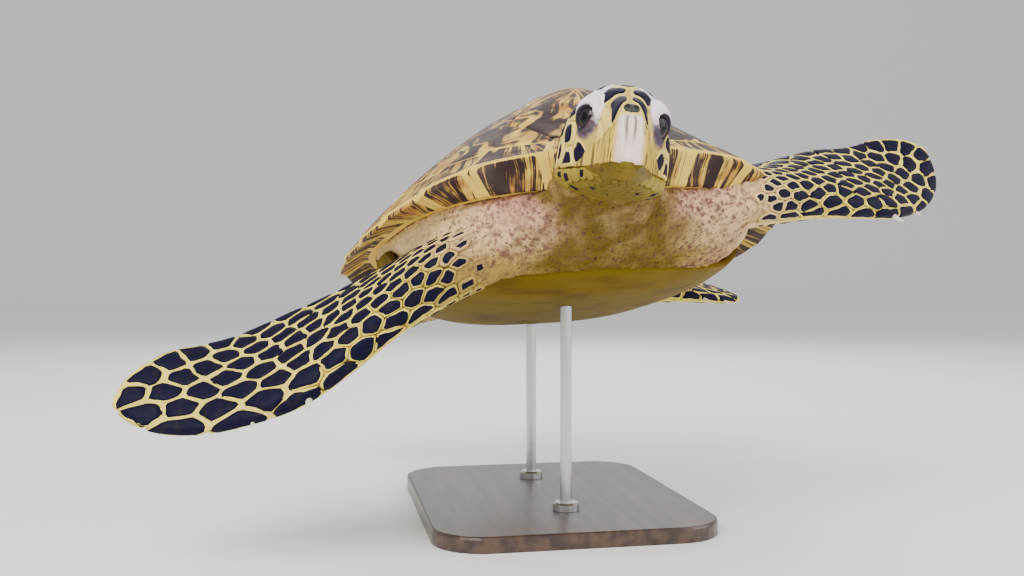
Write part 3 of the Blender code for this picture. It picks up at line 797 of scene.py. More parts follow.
# ---- scales
@dataclass
class Chart:
    """A patch of surface measured in metres along it and across it."""

    along: Array
    points: Array
    half: Array
    normals: Array

    @staticmethod
    def measured(along: Array, rows: Array, columns: int = 97) -> Chart:
        """Spaces each row of points evenly by arc length.

        Args:
            along: Metres along the patch at each row.
            rows: Points of each arched row, from its one edge to the other, (n, m, 3).
            columns: How many points a row is given.

        Returns:
            The chart, whose rows reach from minus half their length to plus half.
        """
        reach = np.cumsum(np.linalg.norm(np.diff(rows, axis=1), axis=2), axis=1)
        reach = np.concatenate([np.zeros((len(rows), 1)), reach], axis=1)
        points = np.empty((len(rows), columns, 3))
        for i, row in enumerate(rows):
            even = np.linspace(0, reach[i, -1], columns)
            points[i] = np.stack([np.interp(even, reach[i], axis) for axis in row.T], axis=-1)
        ahead = np.gradient(points, axis=0)
        across = np.gradient(points, axis=1)
        normals = unit(np.cross(ahead, across))
        arch = points - points.mean(axis=1, keepdims=True)
        return Chart(along, points, reach[:, -1] / 2, normals * np.sign((normals * arch).sum()))

    def half_at(self, a: Array) -> Array:
        """Half the width of the patch at a metres along it."""
        return np.interp(a, self.along, self.half)

    def at(self, a: Array, c: Array) -> Pair:
        """Point and normal at a metres along and c metres across, between grid points."""
        rows, columns = self.points.shape[:2]
        row = np.interp(a, self.along, np.arange(rows))
        half = np.maximum(self.half_at(a), 1e-6)
        column = (np.clip(c / half, -1, 1) + 1) / 2 * (columns - 1)
        i = np.clip(row.astype(int), 0, rows - 2)
        j = np.clip(column.astype(int), 0, columns - 2)
        u, v = (row - i)[..., None], (column - j)[..., None]

        def blend(grid: Array) -> Array:
            """Bilinear mean of the four grid points round each place."""
            low = grid[i, j] * (1 - v) + grid[i, j + 1] * v
            high = grid[i + 1, j] * (1 - v) + grid[i + 1, j + 1] * v
            return low * (1 - u) + high * u

        return blend(self.points), unit(blend(self.normals))

    def share_across(self, centres: Array) -> Array:
        """How far places lie from the middle to the edge, as a share of half the width."""
        return centres[:, 1] / np.maximum(self.half_at(centres[:, 0]), 1e-6)

    def under(self, centres: Array) -> Callable[[Array], Pair]:
        """Makes a function that gives points and normals under offsets from the centres."""

        def laid(rings: Array) -> Pair:
            """Points and normals of the chart under offsets from the centres."""
            at = centres[:, None, None] + rings
            return self.at(at[..., 0], at[..., 1])

        return laid

    def border(self) -> Pair:
        """Places round the patch's edge, in metres along and across, and outward directions."""
        one = np.column_stack([self.along, self.half])
        other = np.column_stack([self.along, -self.half])[::-1]
        steps = np.linspace(0, 1, 9)[1:-1, None]
        tip = one[-1] * (1 - steps) + other[0] * steps
        root = other[-1] * (1 - steps) + one[0] * steps
        edge = np.concatenate([one, tip, other, root])[::-1]
        tangent = np.roll(edge, -1, axis=0) - np.roll(edge, 1, axis=0)
        outward = unit(np.column_stack([tangent[:, 1], -tangent[:, 0]]))
        keep = np.linalg.norm(tangent, axis=1) > 1e-5
        return edge[keep], outward[keep]


def relaxed_centres(
    chart: Chart, size: Callable[[Array, Array], Array], span: tuple[float, float],
    stretch: tuple[float, float], seed: int, rounds: int = 16,
) -> Array:
    """Spreads scale centres over a chart so that each has the room its size asks for.

    Centres are drawn at random, more of them where scales are small. Each is then moved to the
    middle of the places nearest to it, which count for more where scales are small, some
    rounds over.

    Args:
        chart: The surface.
        size: Half a scale's width at metres along and share across.
        span: Where along the chart the scales start and end.
        stretch: Length of the scales along and across, over their size.
        seed: Start of the random draw.
        rounds: How often the centres are moved.

    Returns:
        Centres, metres along and across.
    """
    draw = np.random.default_rng(seed)
    spacing, widest = LLOYD_SPACING, chart.half.max()
    a = np.arange(span[0], span[1], spacing)
    grid_a, grid_c = np.meshgrid(a, np.arange(-widest, widest, spacing), indexing="ij")
    inside = np.abs(grid_c) < chart.half_at(grid_a)
    places = np.column_stack([grid_a[inside], grid_c[inside]])
    room = size(places[:, 0], chart.share_across(places))
    count = int((spacing**2 / (HEXAGON * room**2 * stretch[0] * stretch[1])).sum())
    share = 1 / room**2
    centres = places[draw.choice(len(places), count, replace=False, p=share / share.sum())]
    weight = 1 / room**4
    scale = np.array(stretch)
    for _ in range(rounds):
        owner = (((places[:, None] - centres[None]) / scale) ** 2).sum(-1).argmin(1)
        total = np.bincount(owner, weight, count)
        sums = [np.bincount(owner, weight * axis, count) for axis in places.T]
        moved = np.column_stack(sums) / np.maximum(total, 1e-12)[:, None]
        centres = np.where(total[:, None] > 0, moved, centres)
    return centres


def cell_outlines(offsets: Array, shares: Array, spokes: int, sharpness: float = 14.0) -> Array:
    """Outlines of cells about their middles, as radii along evenly spaced spokes.

    A neighbour at offset d bounds the cell with a line square to d at its share of the way
    there. Along a spoke the radius is the smallest distance to any such line, softened at the
    corners by taking the power mean of the distances instead of the least of them.

    Args:
        offsets: Vectors to each cell's neighbours, (n, k, 2).
        shares: Share of each offset that belongs to the cell, (n, k).
        spokes: How many directions are measured.
        sharpness: Exponent of the power mean: higher gives sharper corners.

    Returns:
        Radii, (n, spokes).
    """
    heading = spokes_of(spokes)[1].T
    distance = np.linalg.norm(offsets, axis=2)
    towards = (offsets @ heading) / np.maximum(distance, 1e-9)[..., None]
    reach = (distance * shares)[..., None] / np.maximum(towards, 1e-3)
    least = reach.min(axis=1, keepdims=True)
    return (least[:, 0] * ((least / reach) ** sharpness).sum(1) ** (-1 / sharpness)).clip(0, 0.1)


@dataclass(frozen=True)
class PlateShape:
    """Cross-section of a scale, in metres above the coat's outline."""

    crown: float  # rise of its middle over its edge
    edge: float  # its edge
    foot: float  # its underside, within the skin
    seam: float  # half the gap to its neighbours
    spokes: int = 20
    wobble: float = 0.0  # how far its outline wanders, as a share of its radius
    rings: tuple[float, ...] = (0.62, 0.93, 1.0)  # shares of its radius, the last at its foot


def plates(
    shape: PlateShape, outline: Array, surface: Callable[[Array], Pair], roots: Array, size: Array,
    tint: Array, seed: int,
) -> Surface:
    """Builds many closed domed scales as one surface.

    Ring by ring, a point is the scale's middle plus a share of its outline, laid on the
    surface and raised by edge + crown * (1 - share squared).

    Args:
        shape: The scales' cross-section.
        outline: Each scale's outline about its middle in metres, (n, spokes, 2).
        surface: Gives points and normals for offsets (n, rings, spokes, 2) from the middles.
        roots: Each scale's place on the bake map.
        size: Share of its outline that each scale fills.
        tint: Each scale's colour, (n, 3).
        seed: Start of the random draw.

    Returns:
        The scales, each carrying its colour, a random tone and its rim share.
    """
    draw = np.random.default_rng(seed)
    count, spokes = outline.shape[:2]
    angle, _ = spokes_of(spokes)
    waves = np.arange(2, 6)[None, :, None]
    swing = draw.normal(size=(count, 4, 1)) / waves
    phase = draw.uniform(0, 2 * PI, (count, 4, 1))
    wander = (swing * np.cos(waves * angle[None, None] + phase)).sum(1) * shape.wobble
    length = np.linalg.norm(outline, axis=2)
    fill = np.clip((length - shape.seam) / np.maximum(length, 1e-9), 0.25, 1)
    fill = fill * (1 + wander) * size[:, None]
    outline = outline * np.minimum(fill, 1.0)[..., None]
    shares = np.array([0.0, *shape.rings, 0.5])
    heights = shape.edge + shape.crown * (1 - shares**2)
    heights[-2:] = shape.foot
    points, normals = surface(outline[:, None] * shares[None, :, None, None])
    points = points + normals * heights[None, :, None, None]
    top, bottom = points[:, 0, 0], points[:, -1].mean(1)
    middle = points[:, 1:-1].reshape(count, -1, 3)
    vertices = np.concatenate([top[:, None], middle, bottom[:, None]], axis=1)
    per = vertices.shape[1]
    j = np.arange(spokes)
    k = (j + 1) % spokes
    fan = np.stack([np.zeros(spokes, int), 1 + j, 1 + k], axis=-1)
    steps = len(shape.rings) - 1
    base = 1 + np.arange(steps)[:, None] * spokes
    sides = np.stack([base + j, base + spokes + j, base + spokes + k, base + k], axis=-1)
    last = 1 + steps * spokes
    floor = np.stack([last + k, last + j, np.full(spokes, per - 1)], axis=-1)
    start = np.arange(count)[:, None, None] * per
    triangles = np.concatenate([fan, floor])[None] + start
    quads = sides.reshape(1, -1, 4) + start
    spread = np.concatenate([[0.0], np.repeat(shape.rings, spokes), [0.0]])
    turn = np.concatenate([[0.0], np.tile(angle, len(shape.rings)), [0.0]])
    patch = np.stack([np.cos(turn), np.sin(turn)], -1) * spread[:, None] * BAKE_PATCH / 2
    uv = (roots[:, None] + patch[None]).reshape(-1, 2)
    rows = {
        "rim": np.tile(spread, count),
        "tone": np.repeat(draw.uniform(0, 1, count), per),
        "red": np.repeat(tint[:, 0], per),
        "green": np.repeat(tint[:, 1], per),
        "blue": np.repeat(tint[:, 2], per),
    }
    first = vertices[:, 1:3] - vertices[:, :1]
    outward = (np.cross(first[:, 0], first[:, 1]) * (top - bottom)).sum() > 0
    faces = [triangles.reshape(-1, 3), quads.reshape(-1, 4)]
    faces = faces if outward else [face[:, ::-1] for face in faces]
    return Surface(vertices.reshape(-1, 3), faces, uv, rows)


@dataclass
class ScaleField:
    """Scales laid out on a chart.

    Two neighbours part where the squares of the distances to them, each less its own size
    squared, are equal, so that cells of different sizes still meet without a gap.
    """

    chart: Chart
    centres: Array
    sizes: Array
    stretch: tuple[float, float] = (1.0, 1.0)
    island: Triple = (0.02, 0.02, 0.9)  # corner and scale on the bake map

    def outlines(self, spokes: int, margin: float = 0.0, neighbours: int = 14) -> Array:
        """Each scale's outline about its middle, in metres along and across.

        Args:
            spokes: How many points it has.
            margin: How far it stays inside the chart's border.
            neighbours: How many scales round it are looked at.
        """
        scale = np.array(self.stretch)
        apart = (self.centres[None] - self.centres[:, None]) / scale
        distance = np.linalg.norm(apart, axis=2) + np.eye(len(apart)) * 9
        take = min(neighbours, len(self.centres) - 1)
        near = np.argpartition(distance, take - 1, axis=1)[:, :take]
        offsets = np.take_along_axis(apart, near[..., None], axis=1)
        apart_squared = np.maximum((offsets**2).sum(-1), 1e-9)
        shares = 0.5 + (self.sizes[:, None] ** 2 - self.sizes[near] ** 2) / (2 * apart_squared)
        shares = np.clip(shares, 0.12, 0.95)
        edge, outward = self.chart.border()
        outward = unit(outward * scale)
        gap = (edge[None] - self.centres[:, None]) / scale
        closest = np.argpartition(np.linalg.norm(gap, axis=2), 2, axis=1)[:, :3]
        gap = np.take_along_axis(gap, closest[..., None], axis=1)
        outward = outward[closest]
        depth = np.maximum((gap * outward).sum(-1) - margin, 0.0005)
        offsets = np.concatenate([offsets, outward * depth[..., None]], axis=1)
        shares = np.concatenate([shares, np.ones(depth.shape)], axis=1)
        radii = cell_outlines(offsets, shares, spokes)
        return radii[..., None] * spokes_of(spokes)[1] * scale

    def roots(self) -> Array:
        """Each scale's place on the bake map: the chart itself, laid flat in its island."""
        reach = max(self.chart.along[-1] - self.chart.along[0], 2 * self.chart.half.max())
        flat = self.centres - [self.chart.along[0], -self.chart.half.max()]
        return np.array(self.island[:2]) + flat / reach * self.island[2]

    def build(
        self, shape: PlateShape, tint: Array, seed: int, fill: Array | None = None,
        margin: float = 0.0,
    ) -> Surface:
        """Builds the scales, each filling its share of its room."""
        fill = np.ones(len(self.centres)) if fill is None else fill
        keep = fill > 0.05
        outline = self.outlines(shape.spokes, margin)[keep]
        laid = self.chart.under(self.centres[keep])
        return plates(shape, outline, laid, self.roots()[keep], fill[keep], tint[keep], seed)

    def middles(self) -> Pair:
        """Point and normal at the middle of each scale."""
        return self.chart.at(self.centres[:, 0], self.centres[:, 1])


# ---- finishes
@dataclass(frozen=True)
class Palette:
    """Colours of the animal, as linear light, with some painted shade and painted highlight colours
    among them.
    """

    cream: Colour = (0.74, 0.53, 0.25)
    rose: Colour = (0.66, 0.32, 0.24)
    seam: Colour = (0.95, 0.76, 0.13)
    # painted shade: the dark colour that the throat and the hollow under the head are given
    olive: Colour = (0.135, 0.092, 0.008)
    # dark yellow: partly the skin's own colour underneath, partly painted shade under the body
    belly: Colour = (0.32, 0.21, 0.018)
    fleck: Colour = (0.10, 0.032, 0.045)
    scale: Colour = (0.0045, 0.0042, 0.0200)
    # painted highlight: the pale lilac white of the scales over the eyes
    highlight_lilac: Colour = (0.90, 0.72, 0.82)
    brown: Colour = (0.20, 0.105, 0.055)
    cheek_high: Colour = (0.62, 0.45, 0.09)
    # painted shade of the lower cheek by the mouth
    cheek_low: Colour = (0.20, 0.14, 0.012)
    # the lids: painted shade below the eye and a painted highlight above it
    lid_dusky: Colour = (0.100, 0.085, 0.115)
    lid_white: Colour = (0.90, 0.74, 0.80)
    lid_edge: Colour = (0.030, 0.024, 0.034)
    # painted shade under the chin
    jaw_under: Colour = (0.15, 0.105, 0.010)
    jaw_side: Colour = (0.34, 0.25, 0.035)
    snout: Colour = (0.050, 0.055, 0.048)
    # painted shade: near black for the inside of the nostrils
    nostril: Colour = (0.003, 0.003, 0.003)


COLOURS = Palette()


@dataclass(frozen=True)
class SkinFinish:
    """Soft reptile skin: carried colour, broken up by specks, fine cells and damp gloss."""

    name: str = "turtle skin"
    grain: float = 420.0

    def material(self) -> Material:
        """Builds the material."""
        nodes = Nodes(self.name)
        specks = nodes.noise(190, 6).between(0.50, 0.62) * nodes.mark("fleck")
        dirty = (specks * 0.85).mix(nodes.tint(), COLOURS.fleck)
        blotch = nodes.noise(38, 5).between(0.45, 0.7) * 0.05
        height = nodes.cells(self.grain) + nodes.noise(90, 4)
        warm = blotch.mix(dirty, COLOURS.rose)
        return nodes.finished(warm, (height, 0.0006, 0.8), roughness=0.60, specular_ior_level=0.06)


@dataclass(frozen=True)
class ScaleFinish:
    """Horny scales: carried colour with soft stains and fine growth lines."""

    name: str
    stain: Colour = (0.34, 0.22, 0.04)
    stained: float = 0.30  # how strongly the stain shows
    gloss: float = 0.08

    def material(self) -> Material:
        """Builds the material."""
        nodes = Nodes(self.name)
        shade = nodes.noise(120, 4).between(0.40, 0.85) * self.stained
        relief = (nodes.noise(260, 4), 0.0005, 0.7)
        colour = shade.mix(nodes.tint(), self.stain)
        return nodes.finished(colour, relief, roughness=0.48, specular_ior_level=self.gloss)


@dataclass(frozen=True)
class ShellFinish:
    """Tortoiseshell: amber rays fanning out through dark brown, with a yellow border and a painted
    sheen.
    """

    name: str = "shell plates"
    amber: Colour = (0.44, 0.20, 0.035)
    yellow: Colour = (0.78, 0.53, 0.085)
    dark: Colour = (0.032, 0.018, 0.018)
    # painted sheen: pinkish grey laid in soft patches over the plates
    sheen_haze: Colour = (0.26, 0.19, 0.17)

    def material(self) -> Material:
        """Builds the material from the rays' angle and distance that each point carries."""
        nodes = Nodes(self.name)
        reach = nodes.mark("reach")
        fan = nodes.vector(nodes.mark("ray"), reach * 0.22, nodes.mark("plate"))
        rays = nodes.noise(3.6, 5, fan) * 0.45 + nodes.noise(13.0, 4, fan) * 0.33
        rays = rays + nodes.noise(60, 5) * 0.22
        amber = nodes.noise(34, 3).between(0.35, 0.7).mix(self.amber, self.yellow)
        ground = rays.between(0.495, 0.560).mix(self.dark, amber)
        border = nodes.mark("border") + rays * 0.9
        edged = border.between(0.96, 1.08).mix(ground, self.yellow)
        # painted sheen: soft patches of pinkish grey haze over the plates
        sheen_patches = nodes.noise(16, 6).between(0.42, 0.75) * 0.20
        rings = (reach * 46.0).calc("SINE") * 0.12 + nodes.noise(70, 6)
        with_sheen = sheen_patches.mix(edged, self.sheen_haze)
        return nodes.finished(with_sheen, (rings, 0.0009, 0.6), roughness=0.58, specular_ior_level=0.10)


@dataclass(frozen=True)
class PlastronFinish:
    """Lower shell: yellow horn darkened to olive as painted shade, with olive brown stains."""

    name: str = "plastron plates"
    # painted shade: the horn's yellow is darkened to a dull olive for the shaded underside
    yellow: Colour = (0.165, 0.105, 0.004)
    brown: Colour = (0.075, 0.043, 0.003)

    def material(self) -> Material:
        """Builds the material."""
        nodes = Nodes(self.name)
        stain = nodes.noise(17, 6).between(0.46, 0.72) * 0.75
        ground = stain.mix(self.yellow, self.brown)
        seams = (nodes.mark("seam") * 0.3).mix(ground, self.brown)
        relief = (nodes.noise(85, 6), 0.0008, 0.6)
        return nodes.finished(seams, relief, roughness=0.62, specular_ior_level=0.04)


@dataclass(frozen=True)
class HornFinish:
    """Beak and claws: pale horn with dark streaks along its growth."""

    name: str
    pale: Colour
    deep: Colour
    streak: Colour = (0.055, 0.032, 0.020)
    streaks: float = 0.85

    def material(self) -> Material:
        """Builds the material from the place across and along that each point carries."""
        nodes = Nodes(self.name)
        across, down, side = (nodes.mark(name) for name in ("across", "down", "side"))
        ahead = nodes.noise(2.2, 4, nodes.vector(across * 9.0, down * 0.9))
        around = nodes.noise(2.2, 4, nodes.vector(down * 26.0, across * 1.6))
        lines = ahead + (around - ahead) * side
        # pale where side is low: on the upper beak's front this is partly a painted highlight
        body = side.between(0.25, 0.95).mix(self.pale, self.deep)
        streaks = lines.between(0.52, 0.61) * self.streaks * (side * 0.7 + 0.3)
        colour = nodes.mark("pit").mix(streaks.mix(body, self.streak), self.streak)
        relief = (lines + nodes.noise(150, 4), 0.0004, 0.6)
        return nodes.finished(colour, relief, roughness=0.42, specular_ior_level=0.08)


@dataclass(frozen=True)
class EyeFinish:
    """A wet dark eye: black pupil, brown iris with rays, dull rim."""

    name: str = "wet eye"
    pupil: Colour = (0.002, 0.002, 0.003)
    iris: Colour = (0.012, 0.008, 0.010)
    rim: Colour = (0.010, 0.008, 0.008)

    def material(self) -> Material:
        """Builds the material from the angle to the gaze that each point carries."""
        nodes = Nodes(self.name)
        gaze = nodes.mark("gaze")
        flecks = nodes.noise(900, 3).mix(self.iris, tuple(2.2 * c for c in self.iris))
        colour = gaze.between(0.70, 0.82).mix(gaze.between(0.36, 0.42).mix(self.pupil, flecks), self.rim)
        wet = {"roughness": 0.06, "coat_weight": 0.15, "coat_roughness": 0.02}
        return nodes.finished(colour, None, specular_ior_level=0.12, **wet)


@dataclass(frozen=True)
class WoodFinish:
    """Stained and waxed hardwood."""

    name: str = "stained wood"
    light: Colour = (0.085, 0.045, 0.024)
    dark: Colour = (0.030, 0.015, 0.009)

    def material(self) -> Material:
        """Builds the material: long grain along Y, with pores."""
        nodes = Nodes(self.name)
        grain = nodes.noise(9, 8, nodes.stretched((9.0, 0.7, 9.0))).between(0.35, 0.68)
        pores = (nodes.noise(60, 3, nodes.stretched((9.0, 0.5, 9.0))), 0.0003, 0.5)
        wax = {"roughness": 0.34, "coat_weight": 0.3, "coat_roughness": 0.2}
        return nodes.finished(grain.mix(self.dark, self.light), pores, **wax)


@dataclass(frozen=True)
class SteelFinish:
    """Brushed steel rod."""

    name: str = "brushed steel"
    dull: Colour = (0.50, 0.50, 0.51)
    bright: Colour = (0.66, 0.66, 0.67)

    def material(self) -> Material:
        """Builds the material: fine scratches round the rod."""
        nodes = Nodes(self.name)
        brushed = nodes.noise(40, 5, nodes.stretched((2.0, 2.0, 40.0)))
        colour = brushed.mix(self.dull, self.bright)
        return nodes.finished(colour, (brushed, 0.0001, 0.5), metallic=1.0, roughness=0.28)


# ---- skin
@dataclass(frozen=True)
class Markings:
    """Colour and flecks of the skin and its small scales, by place in the level frame."""

    head: HeadForm

    def throat(self, points: Array) -> Array:
        """Where painted shade lies: 1 in the shaded hollow under the head and along the throat, 0 on the
        shoulders.
        """
        x, y, z = points.T
        beside = fade(np.abs(x + 0.004) + 0.02 * soft_noise(points, 0.06, 6), 0.045, 0.105)
        level = fade(z, 0.10, 0.0)
        return (1 - beside) * level * fade(y, -0.14, -0.24)

    def tint(self, points: Array) -> Array:
        """The skin's colour at each point, as linear red, green and blue, with painted shade and
        highlights in it.
        """
        x, y, z = points.T
        wide = np.abs(x)
        broad = soft_noise(points, 0.10, 3)
        beside = fade(wide, 0.05, 0.09) * fade(wide, 0.17, 0.11) * fade(z, -0.07, -0.01)
        rosy = (fade(broad, -0.1, 0.9) * 0.35 + 0.65 * beside) * fade(wide, 0.30, 0.16)
        colour = toward(np.array(COLOURS.cream), COLOURS.rose, rosy)
        far = fade(wide, 0.20, 0.30)
        colour = toward(colour, COLOURS.seam, 0.75 * far)
        # painted shade: the skin low down under the body is darkened towards the belly colour
        under = fade(z, -0.045, -0.085) * (1 - far)
        colour = toward(colour, COLOURS.belly, 0.8 * under)
        dappled = fade(soft_noise(points, 0.008, 31) + 0.6 * soft_noise(points, 0.021, 32), 0.0, 0.9)
        colour = toward(colour, COLOURS.brown, 0.70 * dappled * self.density(points))
        # painted shade: the throat and the hollow under the head are darkened
        throat = self.throat(points) * (0.90 + 0.16 * soft_noise(points, 0.03, 5))
        colour = toward(colour, COLOURS.olive, np.clip(throat, 0, 0.97))
        local = carried(points, np.linalg.inv(self.head.matrix()))
        # painted shade: the cheek darkens towards the mouth line and the jaw below it
        low = fade(local[:, 2], -0.012, -0.036)[:, None]
        cheek = np.array(COLOURS.cheek_high) * (1 - low) + np.array(COLOURS.cheek_low) * low
        colour = toward(colour, cheek, 0.9 * self.on_head(local))
        # painted highlight on the lid over each eye, painted shade on the lid under it
        over, pale = self.brow(local)
        lid = np.array(COLOURS.lid_dusky) * (1 - pale) + np.array(COLOURS.lid_white) * pale
        return np.clip(toward(colour, lid, over[:, 0]), 0.01, 0.9)

    def on_head(self, local: Array) -> Array:
        """1 on the head and 0 on the neck, at places in the head's frame."""
        return fade(-local[:, 1], -0.01, 0.02)

    def brow(self, local: Array) -> Pair:
        """Where the lids lie, and how pale they are: a painted highlight above the eye, painted shade
        below it.
        """
        over, pale = np.zeros((len(local), 1)), np.zeros((len(local), 1))
        for side in (1, -1):
            eye = Eye(side, self.head)
            away = (local - eye.middle() - (0, 0, 0.0026)) / eye.radius / (1, 1, 1.18)
            near = 1 - fade(np.linalg.norm(away, axis=1), 1.36, 1.62)
            ragged = 0.22 * soft_noise(local, 0.006, 4)
            # the painted highlight fills the lid's upper part, painted shade its lower part
            high = fade(away[:, 2] - 0.15 * away[:, 1] + ragged, -0.42, 0.12)
            over = np.maximum(over, near[:, None])
            pale = np.where(near[:, None] > 0, high[:, None], pale)
        return over, pale

    def density(self, points: Array) -> Array:
        """How densely the body's dark flecks lie: most on the neck, few by the flippers."""
        x, y, _ = points.T
        near = fade(np.abs(x), 0.24, 0.05) * fade(y, 0.0, -0.15)
        rear = 0.35 * fade(y, 0.12, 0.22)
        patchy = 0.75 + 0.35 * soft_noise(points, 0.05, 9)
        # fewer flecks where the throat's painted shade lies
        flecks = (0.34 + 0.80 * near + rear) * patchy * (1 - 0.55 * self.throat(points))
        return np.clip(flecks, 0, 1)

    def fleck(self, points: Array) -> Array:
        """How densely dark flecks lie, on the head too."""
        flecks = self.density(points)
        local = carried(points, np.linalg.inv(self.head.matrix()))
        over, pale = self.brow(local)
        # fewer flecks under the painted highlight over the eye
        head = 0.30 + over * (0.35 - 0.62 * pale)
        return np.clip(flecks + (head[:, 0] - flecks) * self.on_head(local), 0, 1)


@dataclass
class Skin:
    """One skin over all the flesh: closed forms merged into one, smoothed and wrinkled."""

    belly: BellyForm
    head: HeadForm
    marks: Markings
    voxel: float = 0.00335
    bury: float = 0.006  # how far it runs up into the shell
    brow_rise: float = 0.0034  # how far the swelling over an eye stands above its middle
    rounds: tuple[int, int, int] = (4, 46, 2)  # smoothed all over, where limbs join, at the eyes

    def trunk(self) -> Surface:
        """The body between the shells: rings of the belly's curve, closed over the top."""
        q = np.linspace(0.04, 0.94, 46)[:, None]
        angle = np.linspace(0, PI, 41)[None]
        middle = 0.030 * fade(np.abs(q - 0.5), 0.34, 0.16)
        under = self.belly.point(q, angle, COAT_DEPTH)
        under[..., 2] += middle * np.sin(angle) ** 0.5
        across = np.linspace(-0.98, 0.98, 15)[None, :, None]
        over = under[:, :1] * np.array([1, 0, 0]) * across
        over[..., 1] = under[:, :1, 1]
        over[..., 2] = self.belly.top + self.bury
        start = np.array((0, -0.475 * SHELL_LENGTH, -0.034))
        end = np.array((0, 0.455 * SHELL_LENGTH, -0.028))
        return Surface.tube(np.concatenate([under, over], axis=1), start, end)

    def neck(self) -> Surface:
        """The neck: rings that blend from an oval in the body to the back of the skull."""
        angle = np.linspace(0, PI, 33)
        over = self.head.upper(np.array(0.06), angle, COAT_DEPTH)
        under = self.head.lower(np.array(0.06), angle[::-1], COAT_DEPTH)
        last = carried(np.concatenate([over, under[1:-1]]), self.head.matrix())
        around = ring(len(last))
        first = xyz(0.092 * np.cos(around), -0.33 * SHELL_LENGTH, -0.032 + 0.046 * np.sin(around))
        t = np.linspace(0, 1, 34)[:, None, None]
        blend = t * t * (3 - 2 * t)
        rows = first * (1 - blend) + last * blend
        rows[..., 1] = (first * (1 - t) + last * t)[..., 1]
        rows[..., 2] -= 0.008 * np.sin(PI * t[..., 0]) * np.clip(-np.sin(around), 0, 1)
        return Surface.tube(rows)

    def skull(self) -> Surface:
        """The head behind the beak: arches over and under the mouth line."""
        angle = np.linspace(0, PI, 41)
        t = np.linspace(0.0, 0.935, 54)[:, None]
        inset = COAT_DEPTH + 0.0012 * fade(t, 0.88, 0.93)
        over = self.head.upper(t, angle, inset)
        under = self.head.lower(t, angle[::-1], inset)
        rows = np.concatenate([over, under[:, 1:-1]], axis=1)
        return Surface.tube(carried(rows, self.head.matrix()))

    def limb(self, form: LimbForm) -> Surface:
        """A flipper: rings of its section, closing to its tip."""
        station = 1 - (1 - np.linspace(0, 1, 90)[:-1, None]) ** 1.6
        angle = ring(56)
        rows = form.section(station, angle, COAT_DEPTH)
        return Surface.tube(rows, end=form.axis()[1][-1])

    def brow(self, side: int) -> Surface:
        """The swelling round one eye: a ball a lid thicker than the eye, flattened outside."""
        eye = Eye(side, self.head)
        polar = np.linspace(0.02, PI - 0.02, 30)[:, None]
        turn = ring(40)
        radius = eye.radius + eye.lid
        local = xyz(
            1.06 * radius * np.sin(polar) * np.cos(turn),
            1.20 * radius * np.sin(polar) * np.sin(turn) + self.brow_rise,
            0.98 * radius * np.cos(polar),
        )
        rows = carried(eye.middle() + local @ eye.axes(), self.head.matrix())
        return Surface.tube(rows if side > 0 else rows[:, ::-1])

    def tail(self) -> Surface:
        """The tail: shrinking rings along a line that sinks a little."""
        width = smooth_curve((0, 0.26), (0.4, 0.18), (0.8, 0.09), (1, 0.04))
        t = np.linspace(0, 0.97, 30)[:, None]
        angle = ring(32)
        radius = width(t) * 0.18 * SHELL_LENGTH - COAT_DEPTH
        x = 1.15 * radius * np.cos(angle)
        y = 0.36 * SHELL_LENGTH + 0.18 * SHELL_LENGTH * t + 0 * angle
        z = -0.036 + radius * np.sin(angle) - 0.018 * t
        return Surface.tube(xyz(x, y, z))

    def merged(self) -> Pair:
        """Merges the closed forms by remeshing all their volume, and gives points and faces."""
        parts = [self.trunk(), self.neck(), self.skull(), self.tail()]
        parts += [self.brow(1), self.brow(-1)]
        parts += [self.limb(limb.value) for limb in Limb]
        mesh = Surface.joined(parts).mesh("flesh")
        flesh = in_scene("flesh", mesh)
        remesh = flesh.modifiers.new("merge", "REMESH")
        remesh.mode = "VOXEL"
        remesh.voxel_size = self.voxel
        evaluated = flesh.evaluated_get(bpy.context.evaluated_depsgraph_get())
        whole = bpy.data.meshes.new_from_object(evaluated)
        points, faces = read_mesh(whole)
        bpy.data.objects.remove(flesh)
        bpy.data.meshes.remove(mesh)
        bpy.data.meshes.remove(whole)
        return points, faces

    def blend_zones(self, points: Array) -> Array:
        """How much each point is smoothed: most where limbs and neck leave the body."""
        near = np.zeros(len(points))
        for limb in Limb:
            form = limb.value
            _, axis, _, _ = form.axis()
            reach = 0.34 if limb.fore else 0.42
            middle = axis[int(reach * 0.45 * 60)]
            distance = np.linalg.norm(points - middle, axis=1)
            near = np.maximum(near, 1 - fade(distance, 0.35 * form.length, 0.52 * form.length))
        x, y, _ = points.T
        neck = (1 - fade(np.abs(y + 0.33), 0.05, 0.10)) * (1 - fade(np.abs(x), 0.12, 0.16))
        return np.maximum(near, neck)

    def relief(self, points: Array) -> Array:
        """Height of the skin's folds over its smooth form.

        Folds are ridges of a wave that runs along the neck, bent by noise, and softer ones run
        round the shoulders.
        """
        x, y, z = points.T
        bent = soft_noise(points, 0.09, 21) * 0.012 + soft_noise(points, 0.03, 22) * 0.003
        wave = np.abs(np.sin(PI * (y + 0.25 * np.abs(x) + bent) / 0.021))
        neck = (1 - fade(np.abs(y + 0.315), 0.055, 0.095)) * (1 - fade(np.abs(x), 0.10, 0.15))
        folds = -0.0026 * (1 - wave) ** 2.2 * neck
        radial = np.hypot(np.abs(x) - 0.17, y + 0.25)
        shoulder = np.abs(np.sin(PI * (radial + bent) / 0.026))
        belt = (1 - fade(np.abs(radial - 0.07), 0.03, 0.07)) * (1 - neck)
        folds -= 0.0016 * (1 - shoulder) ** 2.4 * belt * fade(np.abs(x), 0.26, 0.20)
        return folds + 0.0007 * soft_noise(points, 0.013, 23) * fade(np.abs(x), 0.28, 0.2)

